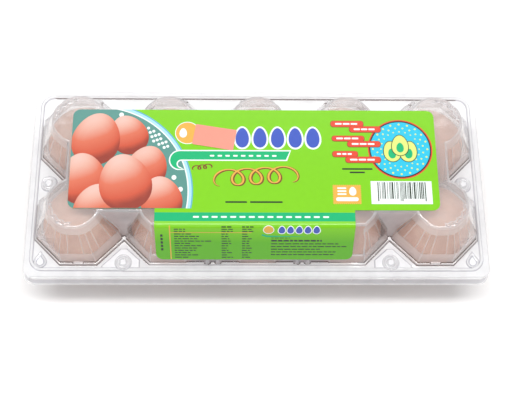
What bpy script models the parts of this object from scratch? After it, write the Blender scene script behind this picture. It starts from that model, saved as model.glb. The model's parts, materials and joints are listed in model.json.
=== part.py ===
"""A clear hinged carton that holds ten hen's eggs in two rows of five, with a printed label on its lid.

Metres, +Z up. The origin is on the table, under the middle of the carton. The front is towards -Y, and the
lid hinges along the back edge of the flange.
"""

import math
import random

import bmesh
import bpy
from mathutils import Matrix, Vector

MM = 0.001

# Driving dimensions, in millimetres. ROOT is how deep a raised form stands in the sheet below it.
PITCH = 49.0
COLUMNS = 5
SHEET = 0.9
GAP = 0.3
ROOT = 0.4
TRAY_DEPTH = 37.0
LID_RISE = 30.8
EGG_RADIUS = 22.1
EGG_LENGTH = 58.0

# The flanges, their rims and the hinge
LID_FLANGE = (-128.3, -55.8, 128.3, 58.1)
TRAY_FLANGE = (-126.6, -56.7, 126.6, 58.1)
FLANGE_CORNER = 5.0
BEAD_INSET = 3.4
BEAD_WIDTH = 1.6
BEAD_FLAT = (0.3 * BEAD_WIDTH, 0.7 * BEAD_WIDTH)
BEAD_HEIGHT = 0.8
SIDE_LIP_DROP = 1.8
SKIRT_DROP = 3.2
SKIRT_FLARE = 1.4
SKIRT_ROOT = 0.2

# The cells: how far the lid's walls stand in from the cell's octagon, and at which heights
CELL_APOTHEM = PITCH / 2
SHELF_RISE = 1.5
SHELF_INSET = 1.2
BAND_TOP = 9.0
BAND_INSET = 3.0
FACET_TOP = 25.0
FACET_RADIUS = 16.4
LOBE_RADIUS = 14.5
CORE_MARGIN_TOP = 4.95
CORE_MARGIN_BASE = 8.0
LEDGE = 0.3
FRONT_CUT_TOP = (-36.8, LID_RISE)
FRONT_CUT_BASE = (-46.2, BAND_TOP + 0.2)
FRONT_CUT_HALF_WIDTH = 57.5
CUTTER_OVER = 5.0
RIB_RISE = 1.2
RIB_RADII = (11.7, 14.0)
RIB_ARC = 80
RIB_START = 5

# The raised plates and press buttons on the lid's flange
PLATE_RISE = 0.6
PLATE_TIP = (1.6, -39.8)
PLATE_SHOULDER = (8.8, -46.3)
PLATE_REACH = 11.6
PLATE_GAP = 0.4
PLATE_CORNER = 1.4
BUTTON_RADIUS = 4.5
BOSS_RADIUS = 2.1
FRONT_BUTTON_Y = -47.9
SIDE_BUTTON_X = 117.2
DROP_MARK = (119.0, -47.3)
DROP_RADIUS = 3.4
DROP_LENGTH = 6.0

# The printed label and the price sticker
LABEL_THICK = 0.3
LABEL_PANEL = (-100.0, -29.4, 96.7, 30.2)
LABEL_CORNER = 4.0
LABEL_DROP = (-54.8, 52.4)
LABEL_FOLD_Y = -37.2
LABEL_END = (-47.9, 6.0)
STICKER_SIZE = (22.5, 12.2)
STICKER_CORNER = 1.0
STICKER_PLACE = (-23.6, 13.6)
STICKER_TURN = math.radians(-9.5)

# The angle between a cell's flat sides, and where the two lines on each side stand from its middle
SIDE_ANGLE = math.radians(45)
HALF_FLAT = math.radians(10.5)

# The cup's inner wall: height above the table, apothem and squareness
CUP_WALL = [
    (SHEET, 9.6, 0.0),
    (7.0, 15.6, 0.2),
    (17.0, 20.6, 0.5),
    (28.0, 22.9, 0.85),
]
CUP_MOUTH = 23.6
CUP_FOOT = 9.0
CUP_RIM = CELL_APOTHEM - 0.15

# The egg's widest part as a share of its length from the pointed end, and how much eggs vary
EGG_WIDEST = 0.56
EGG_SIDES = 18
EGG_RADIUS_LESS = 0.6
EGG_LENGTH_CHANGE = (-1.2, 0.8)
EGG_LEAN = 1.4

TRAY_TOP = TRAY_DEPTH
LID_BASE = TRAY_TOP + GAP
LID_FLOOR = LID_BASE + SHEET
LID_TOP = LID_FLOOR + LID_RISE


def clear_scene():
    for thing in list(bpy.data.objects):
        bpy.data.objects.remove(thing, do_unlink=True)


def cell_centres():
    """The middles of the cells, row by row, left to right."""
    columns = [(column - (COLUMNS - 1) / 2) * PITCH for column in range(COLUMNS)]
    return [(x, row * PITCH / 2) for row in (-1, 1) for x in columns]


def finish(name, colour, roughness, alpha=1.0):
    material = bpy.data.materials.new(name)
    material.use_nodes = True
    shader = material.node_tree.nodes["Principled BSDF"]
    shader.inputs["Base Color"].default_value = (*colour, 1)
    shader.inputs["Roughness"].default_value = roughness
    shader.inputs["Alpha"].default_value = alpha
    return material


def object_from(name, mesh_builder):
    mesh = bpy.data.meshes.new(name)
    mesh_builder.to_mesh(mesh)
    mesh_builder.free()
    thing = bpy.data.objects.new(name, mesh)
    bpy.context.scene.collection.objects.link(thing)
    return thing


def loft(rings, closed=False):
    """A solid through rings of equally many points, in mm. Closed joins the last ring to the first."""
    mesh = bmesh.new()
    loops = [[mesh.verts.new(Vector(point) * MM) for point in ring] for ring in rings]
    pairs = list(zip(loops, loops[1:] + loops[:1])) if closed else list(zip(loops, loops[1:]))
    for low, high in pairs:
        count = len(low)
        for i in range(count):
            j = (i + 1) % count
            mesh.faces.new((low[i], low[j], high[j], high[i]))
    if not closed:
        mesh.faces.new(reversed(loops[0]))
        mesh.faces.new(loops[-1])
    bmesh.ops.recalc_face_normals(mesh, faces=mesh.faces)
    return object_from("loft", mesh)


def at_height(outline, z):
    return [(x, y, z) for x, y in outline]


def prism(outline, low, high):
    return loft([at_height(outline, low), at_height(outline, high)])


def arc(centre, radius, start, end, steps):
    """Points along an arc, with its angles in degrees."""
    angles = [math.radians(start + (end - start) * i / steps) for i in range(steps + 1)]
    return [(centre[0] + radius * math.cos(a), centre[1] + radius * math.sin(a)) for a in angles]


def rounded_rectangle(box, radius, steps=5):
    """A rectangle's outline with round corners, anticlockwise from the right end of its front edge."""
    left, front, right, back = box
    return (
        arc((right - radius, front + radius), radius, -90, 0, steps)
        + arc((right - radius, back - radius), radius, 0, 90, steps)
        + arc((left + radius, back - radius), radius, 90, 180, steps)
        + arc((left + radius, front + radius), radius, 180, 270, steps)
    )


def grown(box, by):
    left, front, right, back = box
    return left - by, front - by, right + by, back + by


def joined(target, parts):
    """Adds the parts to the target with one Boolean union, and removes them."""
    group = bpy.data.collections.new("parts")
    for part in parts:
        group.objects.link(part)
    union = target.modifiers.new("union", "BOOLEAN")
    union.operation = "UNION"
    union.operand_type = "COLLECTION"
    union.collection = group
    apply_modifiers(target)
    for part in parts:
        bpy.data.objects.remove(part, do_unlink=True)
    bpy.data.collections.remove(group)
    return target


def cut(target, tool):
    """Takes the tool away from the target, and removes it."""
    difference = target.modifiers.new("cut", "BOOLEAN")
    difference.operation = "DIFFERENCE"
    difference.object = tool
    apply_modifiers(target)
    bpy.data.objects.remove(tool, do_unlink=True)
    return target


def apply_modifiers(thing):
    graph = bpy.context.evaluated_depsgraph_get()
    made = bpy.data.meshes.new_from_object(thing.evaluated_get(graph))
    thing.modifiers.clear()
    thing.data = made


def finished(thing, name, material):
    """Names the object and its mesh, gives it its material, and merges points left double by the cuts."""
    mesh = bmesh.new()
    mesh.from_mesh(thing.data)
    bmesh.ops.remove_doubles(mesh, verts=mesh.verts, dist=0.002 * MM)
    bmesh.ops.dissolve_degenerate(mesh, edges=mesh.edges, dist=0.002 * MM)
    mesh.to_mesh(thing.data)
    mesh.free()
    thing.name = thing.data.name = name
    thing.data.materials.clear()
    thing.data.materials.append(material)
    return thing


def cell_ring(centre, apothem, squareness, z):
    """A cell's wall at one height: an octagon at squareness 1, and a circle at 0."""
    ring = []
    for side in range(8):
        axis = side * SIDE_ANGLE
        for turn in (-HALF_FLAT, HALF_FLAT, SIDE_ANGLE / 2):
            octagon = apothem / math.cos(turn)
            radius = apothem + (octagon - apothem) * squareness
            across, along = radius * math.cos(axis + turn), radius * math.sin(axis + turn)
            ring.append((centre[0] + across, centre[1] + along, z))
    return ring


def footprint(inset):
    """The outline round all ten cells, each an octagon drawn in by the inset.

    Between two neighbours it runs in to where their slanted sides meet, but the front of the middle three
    cells is one straight wall."""
    apothem = CELL_APOTHEM - inset
    corner = apothem * math.tan(SIDE_ANGLE / 2)
    notch = apothem * math.sqrt(2) - CELL_APOTHEM
    right = (COLUMNS - 1) / 2 * PITCH
    row = PITCH / 2
    front = []
    back = []
    for column in range(COLUMNS):
        x = column * PITCH - right
        if column > 0:
            back.append((x - PITCH / 2, row + notch))
            if column in (1, COLUMNS - 1):
                front.append((x - PITCH / 2, -row - notch))
        front += [(x - corner, -row - apothem), (x + corner, -row - apothem)]
        back += [(x - corner, row + apothem), (x + corner, row + apothem)]
    side = [(apothem, -row - corner), (apothem, -row + corner), (notch, 0),
            (apothem, row - corner), (apothem, row + corner)]
    right_side = [(right + x, y) for x, y in side]
    left_side = [(-right - x, -y) for x, y in side]
    return front + right_side + back[::-1] + left_side


def cell_block(grow, top):
    """All that the lid's raised part fills, with its walls drawn in by grow (0 outside, the sheet inside)."""
    base = LID_FLOOR - (ROOT if grow == 0 else 2 * SHEET + GAP)
    shelf = LID_FLOOR + SHELF_RISE - grow
    band = LID_FLOOR + BAND_TOP - grow
    block = loft([
        at_height(footprint(grow), base),
        at_height(footprint(grow), shelf),
        at_height(footprint(SHELF_INSET + grow), shelf),
        at_height(footprint(BAND_INSET + grow), band),
    ])
    # The walls run on past the top, at the same slopes, and the flat top is then cut.
    over = top + 2 * SHEET
    beyond = (over - top) / (LID_RISE - FACET_TOP)
    lobe = LOBE_RADIUS - beyond * (FACET_RADIUS - LOBE_RADIUS)
    beyond = (over - top) / (LID_RISE - SHELF_RISE)
    core = CORE_MARGIN_TOP - beyond * (CORE_MARGIN_BASE - CORE_MARGIN_TOP)
    facet_base = CELL_APOTHEM - BAND_INSET - LEDGE
    parts = [loft([
        cell_ring(centre, facet_base - grow, 1.0, band - 2 * SHEET),
        cell_ring(centre, facet_base - grow, 1.0, band),
        cell_ring(centre, FACET_RADIUS - grow, 0.25, LID_FLOOR + FACET_TOP - grow),
        cell_ring(centre, lobe - grow, 0.0, over),
    ]) for centre in cell_centres()]
    parts.append(loft([at_height(core_outline(CORE_MARGIN_BASE - grow), shelf - ROOT),
                       at_height(core_outline(core - grow), over)]))
    joined(block, parts)
    cut(block, front_cutter(grow))
    return cut(block, prism(core_outline(2 * PITCH), top, over + CUTTER_OVER))


def front_cutter(grow):
    """What is cut off the front of the middle three cells, where the label's drop lies on a slope."""
    top_y, top_z = FRONT_CUT_TOP
    base_y, base_z = FRONT_CUT_BASE
    slope = (top_y - base_y) / (top_z - base_z)
    over = top_z + CUTTER_OVER
    profile = [(top_y + slope * CUTTER_OVER, over), (base_y, base_z), (base_y - PITCH, base_z),
               (base_y - PITCH, over)]
    reach = FRONT_CUT_HALF_WIDTH - grow
    return loft([[(x, y + grow, LID_FLOOR + z - grow) for y, z in profile] for x in (-reach, reach)])


def core_outline(margin):
    """The rectangle of the lid's middle, that far outside the lines through the cells' middles."""
    x = (COLUMNS - 1) / 2 * PITCH + margin
    y = PITCH / 2 + margin
    return [(-x, -y), (x, -y), (x, y), (-x, y)]


def swept(path, outward, profile, closed=False):
    """A bar along a path. Its profile's points are (out, z), out being along the path point's own outward."""
    rings = []
    for (x, y), (nx, ny) in zip(path, outward):
        rings.append([(x + nx * out, y + ny * out, z) for out, z in profile])
    return loft(rings, closed)


def outward_of(path, closed=False):
    """Each point's direction away from a path's inside, for a path that runs anticlockwise."""
    result = []
    count = len(path)
    for i in range(count):
        before = path[i - 1] if closed or i > 0 else path[i]
        after = path[(i + 1) % count] if closed or i < count - 1 else path[i]
        along = Vector((after[0] - before[0], after[1] - before[1])).normalized()
        result.append((along.y, -along.x))
    return result


def front_and_sides(box, radius):
    """The path down the left edge, along the front and up the right edge."""
    left, front, right, back = box
    return (
        [(left, back)]
        + arc((left + radius, front + radius), radius, 180, 270, 5)
        + arc((right - radius, front + radius), radius, -90, 0, 5)
        + [(right, back)]
    )


def button(centre):
    """A press button: a round plate with a boss on it."""
    return [
        prism(arc(centre, BUTTON_RADIUS, 0, 345, 23), LID_FLOOR - ROOT, LID_FLOOR + 2 * PLATE_RISE),
        prism(arc(centre, BOSS_RADIUS, 0, 330, 11), LID_FLOOR, LID_FLOOR + 3 * PLATE_RISE),
    ]


def flange_details():
    """The bead, plates, buttons and drop-shaped marks that stand on the lid's flange."""
    bead = rounded_rectangle(grown(LID_FLANGE, -BEAD_INSET), FLANGE_CORNER)
    root = LID_FLOOR - ROOT
    crown = LID_FLOOR + BEAD_HEIGHT
    profile = [(0, root), (0, LID_FLOOR + BEAD_HEIGHT / 2), (-BEAD_FLAT[0], crown), (-BEAD_FLAT[1], crown),
               (-BEAD_WIDTH, root)]
    parts = [swept(bead, outward_of(bead, True), profile, closed=True)]
    base_y = LID_FLANGE[1] + BEAD_INSET + BEAD_WIDTH + PLATE_GAP
    tip, tip_y = PLATE_TIP
    shoulder, shoulder_y = PLATE_SHOULDER
    for side in (-1, 1):
        half_plate = [(tip, tip_y), (-tip, tip_y), (-shoulder, shoulder_y), (-shoulder, base_y),
                      (PLATE_REACH, base_y), (PLATE_REACH, base_y + PLATE_CORNER)]
        middle = side * 1.5 * PITCH
        plate = [(middle + side * x, y) for x, y in half_plate]
        parts.append(prism(plate[:: -side], LID_FLOOR - ROOT, LID_FLOOR + PLATE_RISE))
        parts += button((middle, FRONT_BUTTON_Y))
        parts += button((side * SIDE_BUTTON_X, 0))
        x, y = side * DROP_MARK[0], DROP_MARK[1]
        drop = arc((x, y), DROP_RADIUS, 150, 390, 10) + [(x, y + DROP_LENGTH)]
        parts.append(prism(drop, LID_FLOOR - ROOT, LID_FLOOR + PLATE_RISE))
    return parts


def corner_ribs():
    """The arc-shaped stacking ribs on the four corner lobes."""
    ribs = []
    right = (COLUMNS - 1) / 2 * PITCH
    row = PITCH / 2
    for x, y, quadrant in ((right, -row, 270), (right, row, 0), (-right, row, 90), (-right, -row, 180)):
        start = quadrant + RIB_START
        inner = arc((x, y), RIB_RADII[0], start, start + RIB_ARC, 8)
        outer = arc((x, y), RIB_RADII[1], start, start + RIB_ARC, 8)
        ribs.append(prism(outer + inner[::-1], LID_TOP - ROOT, LID_TOP + RIB_RISE))
    return ribs


def side_lips():
    """The lid's turned-down edges at its two ends."""
    left, front, right, back = LID_FLANGE
    lips = []
    for edge, inner in ((left, left + SHEET), (right - SHEET, right)):
        box = (edge, front + FLANGE_CORNER, inner, back - FLANGE_CORNER)
        outline = [(box[0], box[1]), (box[2], box[1]), (box[2], box[3]), (box[0], box[3])]
        lips.append(prism(outline, LID_BASE - SIDE_LIP_DROP, LID_BASE + SHEET / 2))
    return lips


def make_lid(material):
    lid = prism(rounded_rectangle(LID_FLANGE, FLANGE_CORNER), LID_BASE, LID_FLOOR)
    joined(lid, [cell_block(0, LID_TOP)] + corner_ribs() + flange_details() + side_lips())
    cut(lid, cell_block(SHEET, LID_TOP - SHEET))
    return finished(lid, "lid", material)


def make_tray(material):
    tray = prism(rounded_rectangle(TRAY_FLANGE, FLANGE_CORNER), TRAY_TOP - SHEET, TRAY_TOP)
    path = front_and_sides(TRAY_FLANGE, FLANGE_CORNER)
    top = TRAY_TOP - SKIRT_ROOT
    low = TRAY_TOP - SHEET - SKIRT_DROP
    profile = [(-SHEET, top), (-SHEET, TRAY_TOP - 2 * SHEET), (SKIRT_FLARE - SHEET, low), (SKIRT_FLARE, low),
               (0, TRAY_TOP - 2 * SHEET), (0, top)]
    parts = [swept(path, outward_of(path), profile)]
    for centre in cell_centres():
        outside = [cell_ring(centre, CUP_FOOT, 0.0, 0.0)]
        outside += [cell_ring(centre, apothem + SHEET, square, z) for z, apothem, square in CUP_WALL[1:]]
        outside.append(cell_ring(centre, CUP_RIM, 1.0, TRAY_TOP - SHEET / 2))
        parts.append(loft(outside))
    joined(tray, parts)
    for centre in cell_centres():
        inside = [cell_ring(centre, apothem, square, z) for z, apothem, square in CUP_WALL]
        inside.append(cell_ring(centre, CUP_MOUTH, 1.0, TRAY_TOP + SHEET))
        cut(tray, loft(inside))
    return finished(tray, "tray", material)


def egg_outline(radius, length, steps=10):
    """Half the outline of an egg, its pointed end down: (radius, height) from tip to tip."""
    widest = EGG_WIDEST * length
    points = []
    for i in range(steps + 1):
        angle = math.pi * i / steps
        reach = widest if angle < math.pi / 2 else length - widest
        points.append((radius * math.sin(angle), widest - reach * math.cos(angle)))
    return points


def make_egg(number, centre, material, chance):
    """One egg, standing in its cup on its pointed end. Eggs differ a little in size and lean."""
    radius = EGG_RADIUS - chance.uniform(0, EGG_RADIUS_LESS)
    length = EGG_LENGTH + chance.uniform(*EGG_LENGTH_CHANGE)
    outline = egg_outline(radius, length)
    mesh = bmesh.new()
    tips = [mesh.verts.new((0, 0, height * MM)) for _, height in (outline[0], outline[-1])]
    rings = []
    for r, height in outline[1:-1]:
        turns = [2 * math.pi * i / EGG_SIDES for i in range(EGG_SIDES)]
        rings.append([mesh.verts.new(Vector((r * math.cos(a), r * math.sin(a), height)) * MM) for a in turns])
    for i in range(EGG_SIDES):
        j = (i + 1) % EGG_SIDES
        mesh.faces.new((tips[0], rings[0][j], rings[0][i]))
        mesh.faces.new((tips[1], rings[-1][i], rings[-1][j]))
        for low, high in zip(rings, rings[1:]):
            mesh.faces.new((low[i], low[j], high[j], high[i]))
    egg = object_from(f"egg_{number}", mesh)
    egg.data.materials.append(material)
    egg.data.shade_smooth()
    lean = Matrix.Rotation(math.radians(chance.uniform(0, EGG_LEAN)), 4, "X")
    lean = Matrix.Rotation(chance.uniform(0, 2 * math.pi), 4, "Z") @ lean
    egg.matrix_world = Matrix.Translation(Vector((*centre, SHEET + GAP)) * MM) @ lean
    return egg


def label_height(y):
    """The label's underside over the lid: flat on top, then down the front of the cells."""
    top = LID_TOP + GAP
    if y >= LABEL_FOLD_Y:
        return top
    end_y, end_z = LABEL_END
    along = (LABEL_FOLD_Y - y) / (LABEL_FOLD_Y - end_y)
    return top + (LID_FLOOR + end_z - top) * along


def make_label(material):
    """The label is cut flat, creased across its drop, and given its thickness."""
    left, front, right, back = LABEL_PANEL
    drop_left, drop_right = LABEL_DROP
    end = LABEL_END[0]
    r = LABEL_CORNER
    outline = (
        arc((drop_right - r, end + r), r, -90, 0, 4) + [(drop_right, LABEL_FOLD_Y), (drop_right, front)]
        + arc((right - r, front + r), r, -90, 0, 4) + arc((right - r, back - r), r, 0, 90, 4)
        + arc((left + r, back - r), r, 90, 180, 4) + arc((left + r, front + r), r, 180, 270, 4)
        + [(drop_left, front), (drop_left, LABEL_FOLD_Y)] + arc((drop_left + r, end + r), r, 180, 270, 4)
    )
    mesh = bmesh.new()
    mesh.faces.new([mesh.verts.new((x * MM, y * MM, 0)) for x, y in outline])
    geometry = mesh.verts[:] + mesh.edges[:] + mesh.faces[:]
    bmesh.ops.bisect_plane(mesh, geom=geometry, plane_co=(0, LABEL_FOLD_Y * MM, 0), plane_no=(0, 1, 0))
    for vertex in mesh.verts:
        vertex.co.z = label_height(vertex.co.y / MM) * MM
    label = object_from("label", mesh)
    thick = label.modifiers.new("thickness", "SOLIDIFY")
    thick.thickness = LABEL_THICK * MM
    thick.offset = 1
    thick.use_even_offset = True
    label.data.materials.append(material)
    return label


def make_price_sticker(material):
    half_x, half_y = STICKER_SIZE[0] / 2, STICKER_SIZE[1] / 2
    outline = rounded_rectangle((-half_x, -half_y, half_x, half_y), STICKER_CORNER, 3)
    sticker = prism(outline, 0, LABEL_THICK)
    place = Vector((*STICKER_PLACE, LID_TOP + LABEL_THICK + 2 * GAP)) * MM
    sticker.matrix_world = Matrix.Translation(place) @ Matrix.Rotation(STICKER_TURN, 4, "Z")
    sticker.name = sticker.data.name = "price_sticker"
    sticker.data.materials.append(material)
    return sticker


def build():
    clear_scene()
    clear_sheet = finish("clear_formed_sheet", (0.86, 0.87, 0.88), 0.12, 0.3)
    eggshell = finish("brown_eggshell", (0.72, 0.42, 0.29), 0.5)
    make_tray(clear_sheet)
    make_lid(clear_sheet)
    chance = random.Random(10)
    for number, centre in enumerate(cell_centres(), 1):
        make_egg(number, centre, eggshell, chance)
    make_label(finish("printed_label", (0.27, 0.73, 0.05), 0.4))
    make_price_sticker(finish("price_sticker_paper", (0.85, 0.36, 0.28), 0.55))


build()
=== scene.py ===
# %% [markdown]
# # A clear carton with ten brown eggs
#
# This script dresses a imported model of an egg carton. The carton is one thin plastic sheet, heated and sucked
# into a mould, then folded along its back into a tray and a lid. Ten eggs stand in it, a printed label lies on
# its flat top and folds down over the front, and a small sticker lies on the label.
#
# The frame holds the true sizes, so every size below is either read from it or stated in millimetres.

# %% Load the frame
import json
import math
import random

import bmesh
import bpy
from mathutils import Matrix, Vector
from mathutils.bvhtree import BVHTree


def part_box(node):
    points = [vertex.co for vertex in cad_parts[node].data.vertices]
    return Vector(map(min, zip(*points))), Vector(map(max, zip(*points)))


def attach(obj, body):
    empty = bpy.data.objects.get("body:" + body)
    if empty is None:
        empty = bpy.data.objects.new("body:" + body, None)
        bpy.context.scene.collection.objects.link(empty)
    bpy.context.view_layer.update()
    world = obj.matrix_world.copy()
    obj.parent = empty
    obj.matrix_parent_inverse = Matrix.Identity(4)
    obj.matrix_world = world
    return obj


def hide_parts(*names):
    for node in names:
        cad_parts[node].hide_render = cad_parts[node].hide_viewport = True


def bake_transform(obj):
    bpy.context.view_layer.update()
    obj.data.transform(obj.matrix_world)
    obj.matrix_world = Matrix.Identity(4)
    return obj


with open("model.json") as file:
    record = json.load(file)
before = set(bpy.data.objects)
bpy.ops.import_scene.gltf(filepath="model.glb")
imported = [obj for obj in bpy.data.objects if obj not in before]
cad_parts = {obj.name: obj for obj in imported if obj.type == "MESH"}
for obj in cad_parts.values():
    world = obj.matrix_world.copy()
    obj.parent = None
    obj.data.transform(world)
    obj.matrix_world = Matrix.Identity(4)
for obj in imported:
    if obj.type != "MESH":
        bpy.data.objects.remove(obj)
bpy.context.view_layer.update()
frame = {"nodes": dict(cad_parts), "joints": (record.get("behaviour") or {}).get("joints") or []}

MM = 0.001
lid_low, lid_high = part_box("lid")
tray_low, tray_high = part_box("tray")
print("nodes in the frame:", sorted(frame["nodes"]))

# %% [markdown]
# ## The carton's driving sizes
#
# A mould maker would start from the egg. A large egg needs a cell 49 mm wide, so ten of them give the carton its
# length and depth. The rest are heights above the lid's flat edge, called the flange, and distances that the
# walls stand in from the cell's eight-sided outline.

# %% Sizes that drive the rest
PITCH = 49 * MM
COLUMNS = 5
ROW_Y = PITCH / 2
SHEET = 0.4 * MM
RIB_RISE = 1.2 * MM
LID_RISE = 30.8 * MM
LID_TOP = lid_high.z - RIB_RISE
LID_FLOOR = LID_TOP - LID_RISE
LID_BASE = LID_FLOOR - 0.9 * MM
TRAY_TOP = tray_high.z
HALF_SIDE = math.radians(22.5)
FACET_LINE = math.radians(10.5)
column_x = [(column - (COLUMNS - 1) / 2) * PITCH for column in range(COLUMNS)]
cell_centres = [(x, row * ROW_Y) for row in (-1, 1) for x in column_x]
print(f"lid flange at {LID_FLOOR / MM:.1f} mm, flat top at {LID_TOP / MM:.1f} mm, {len(cell_centres)} cells")

# %% [markdown]
# ## Colours and a helper for nodes
#
# Colours are written as they would be picked in a paint program, which is sRGB. Blender mixes light in linear
# values, so one function turns the first into the second. Another adds one node with its settings and links,
# so that a material reads from top to bottom.

# %% Helpers for materials
def colour(code):
    """An sRGB hex code as a linear colour."""
    parts = [int(code[i:i + 2], 16) / 255 for i in (1, 3, 5)]
    return (*[p / 12.92 if p <= 0.04045 else ((p + 0.055) / 1.055) ** 2.4 for p in parts], 1)


def add(tree, kind, settings=(), links=()):
    """Adds a node. A setting is an input's name or number, or one of the node's own properties."""
    made = tree.nodes.new(kind)
    for key, value in dict(settings).items():
        if isinstance(key, int) or key in made.inputs:
            made.inputs[key].default_value = value
        else:
            setattr(made, key, value)
    for key, source in dict(links).items():
        tree.links.new(source, made.inputs[key])
    return made


def empty_material(name):
    material = bpy.data.materials.new(name)
    material.use_nodes = True
    material.node_tree.nodes.clear()
    return material, material.node_tree


def size(millimetres):
    """The scale of a pattern whose features repeat at this size."""
    return 1 / (millimetres * MM)


# %% [markdown]
# ## The clear sheet
#
# The carton is PET, a clear polyester, formed from thin sheet. Light mostly goes straight through it. A little
# is scattered by the stretched plastic, which gives the milky veil over the eggs, and a little is mirrored at
# its surface, more so where the wall is seen at a slant. A Transparent shader lets light through without
# bending it, which is true enough for a sheet under half a millimetre, and it keeps the eggs well lit. The sheet
# is whiter where it was drawn out over the eggs, so those faces get materials of their own with more veil. Its
# creases get a whiter sheet too, partly for the stretched plastic and partly as painted highlight. The plates get
# a whiter sheet as painted highlight, the webs between the domes a pink tint as painted reflection of the eggs,
# and the inner folds grey and brown sheets as painted shade. Half of the veil throws light back and half lets it
# through blurred, which softens the outlines of the eggs as the real sheet does.

# %% The clear sheet and its creases
def clear_sheet(name, veil, veil_colour, roughness, through_share=0.5):
    material, tree = empty_material(name)
    place = add(tree, "ShaderNodeTexCoord")
    # Uneven cooling leaves shallow waves about 14 mm apart
    waves = add(tree, "ShaderNodeTexNoise", {"Scale": size(14), "Detail": 2.0}, {"Vector": place.outputs["Object"]})
    bump = add(tree, "ShaderNodeBump", {"Strength": 0.35, "Distance": 0.6 * MM}, {"Height": waves.outputs["Fac"]})
    # The veil is patchy, as the sheet thins out unevenly
    patches = add(tree, "ShaderNodeTexNoise", {"Scale": size(9), "Detail": 3.0}, {"Vector": place.outputs["Object"]})
    amount = add(tree, "ShaderNodeMapRange", {"To Min": veil * 0.75, "To Max": veil * 1.25},
                 {"Value": patches.outputs["Fac"]})
    through = add(tree, "ShaderNodeBsdfTransparent", {"Color": colour("#FCFCFC")})
    back = add(tree, "ShaderNodeBsdfDiffuse", {"Color": colour(veil_colour)}, {"Normal": bump.outputs["Normal"]})
    blurred = add(tree, "ShaderNodeBsdfTranslucent", {"Color": colour(veil_colour)},
                  {"Normal": bump.outputs["Normal"]})
    scatter = add(tree, "ShaderNodeMixShader", {0: through_share}, {1: back.outputs["BSDF"], 2: blurred.outputs["BSDF"]})
    body = add(tree, "ShaderNodeMixShader", {}, {0: amount.outputs["Result"], 1: through.outputs["BSDF"],
                                                 2: scatter.outputs["Shader"]})
    mirror = add(tree, "ShaderNodeBsdfGlossy", {"Roughness": roughness, "Color": colour("#FFFFFF")},
                 {"Normal": bump.outputs["Normal"]})
    # PET mirrors a twentieth of the light that meets it squarely, and all of it at a grazing angle
    slant = add(tree, "ShaderNodeLayerWeight", {"Blend": 0.5}, {"Normal": bump.outputs["Normal"]})
    grazing = add(tree, "ShaderNodeMath", {"operation": "POWER", 1: 5.0}, {0: slant.outputs["Facing"]})
    share = add(tree, "ShaderNodeMapRange", {"To Min": 0.05, "To Max": 1.0}, {"Value": grazing.outputs["Value"]})
    both = add(tree, "ShaderNodeMixShader", {}, {0: share.outputs["Result"], 1: body.outputs["Shader"],
                                                 2: mirror.outputs["BSDF"]})
    add(tree, "ShaderNodeOutputMaterial", {}, {"Surface": both.outputs["Shader"]})
    return material


pet_flat = clear_sheet("PET_sheet_thermoformed", 0.43, "#FCFCFD", 0.07, 0.2)
# Partly painted highlight: the creases' whiter veil stands for stretched sheet and for the light lines they catch
pet_crease_whitened_and_highlit = clear_sheet("PET_sheet_stretch_whitened_and_painted_highlight", 0.38, "#F8F8FA", 0.1)
pet_drawn = clear_sheet("PET_sheet_deep_drawn", 0.33, "#F4F0F0", 0.09)
pet_dome_top = clear_sheet("PET_sheet_dome_top", 0.2, "#F8F6F6", 0.08)
# Painted highlight: a whiter sheet for the plates and the buttons' bosses
pet_plate_painted_highlight = clear_sheet("PET_sheet_embossed_painted_highlight", 0.6, "#FDFDFF", 0.08, 0.15)
pet_facet = clear_sheet("PET_sheet_drawn_thin", 0.09, "#D8CED0", 0.08)
# Partly painted reflection: a milky veil tinted pink for the eggs' colour
pet_web_painted_egg_tint = clear_sheet("PET_sheet_web_painted_egg_tint", 0.55, "#EFE5E5", 0.09)
# Painted shade: a dark brown sheet in the inner folds, standing for shade and the eggs' reflected colour
pet_fold_painted_shade = clear_sheet("PET_sheet_inner_fold_painted_shade", 0.6, "#826F6A", 0.1, 0.3)
# Painted shade: a grey sheet for the folds on the flange and the tray's skirt
pet_seam_painted_shade = clear_sheet("PET_sheet_flange_fold_painted_shade", 0.4, "#D2D2D8", 0.1, 0.3)
SHEETS = (pet_flat, pet_crease_whitened_and_highlit, pet_drawn, pet_dome_top, pet_plate_painted_highlight, pet_facet, pet_web_painted_egg_tint, pet_fold_painted_shade, pet_seam_painted_shade)
CREASE_WHITE_AND_HIGHLIGHT, DRAWN, DOME_TOP, PLATE_PAINTED_HIGHLIGHT, FACET, WEB_PAINTED_EGG_TINT, FOLD_PAINTED_SHADE, SEAM_PAINTED_SHADE = range(1, 9)
print("clear sheets:", [sheet.name for sheet in SHEETS])

# %% [markdown]
# ## Working on a mesh as by hand
#
# Blender's modelling tools act on whatever is selected. Three helpers keep that in order: one selects whole
# objects, one selects points, edges or faces in edit mode by a test on their place, and one names a new
# primitive and moves its place into its mesh.

# %% Helpers for modelling
def only(*things):
    """Selects these objects and no others. The last one is active."""
    bpy.ops.object.select_all(action="DESELECT")
    for thing in things:
        thing.select_set(True)
    bpy.context.view_layer.objects.active = things[-1]


def edit(thing):
    only(thing)
    bpy.ops.object.mode_set(mode="EDIT")
    bpy.ops.mesh.select_mode(type="FACE")
    bpy.ops.mesh.select_all(action="SELECT")


def done():
    bpy.ops.object.mode_set(mode="OBJECT")


def middle(part):
    """The middle of a point, an edge or a face."""
    points = [part.co] if isinstance(part, bmesh.types.BMVert) else [v.co for v in part.verts]
    return sum(points, Vector()) / len(points)


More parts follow.
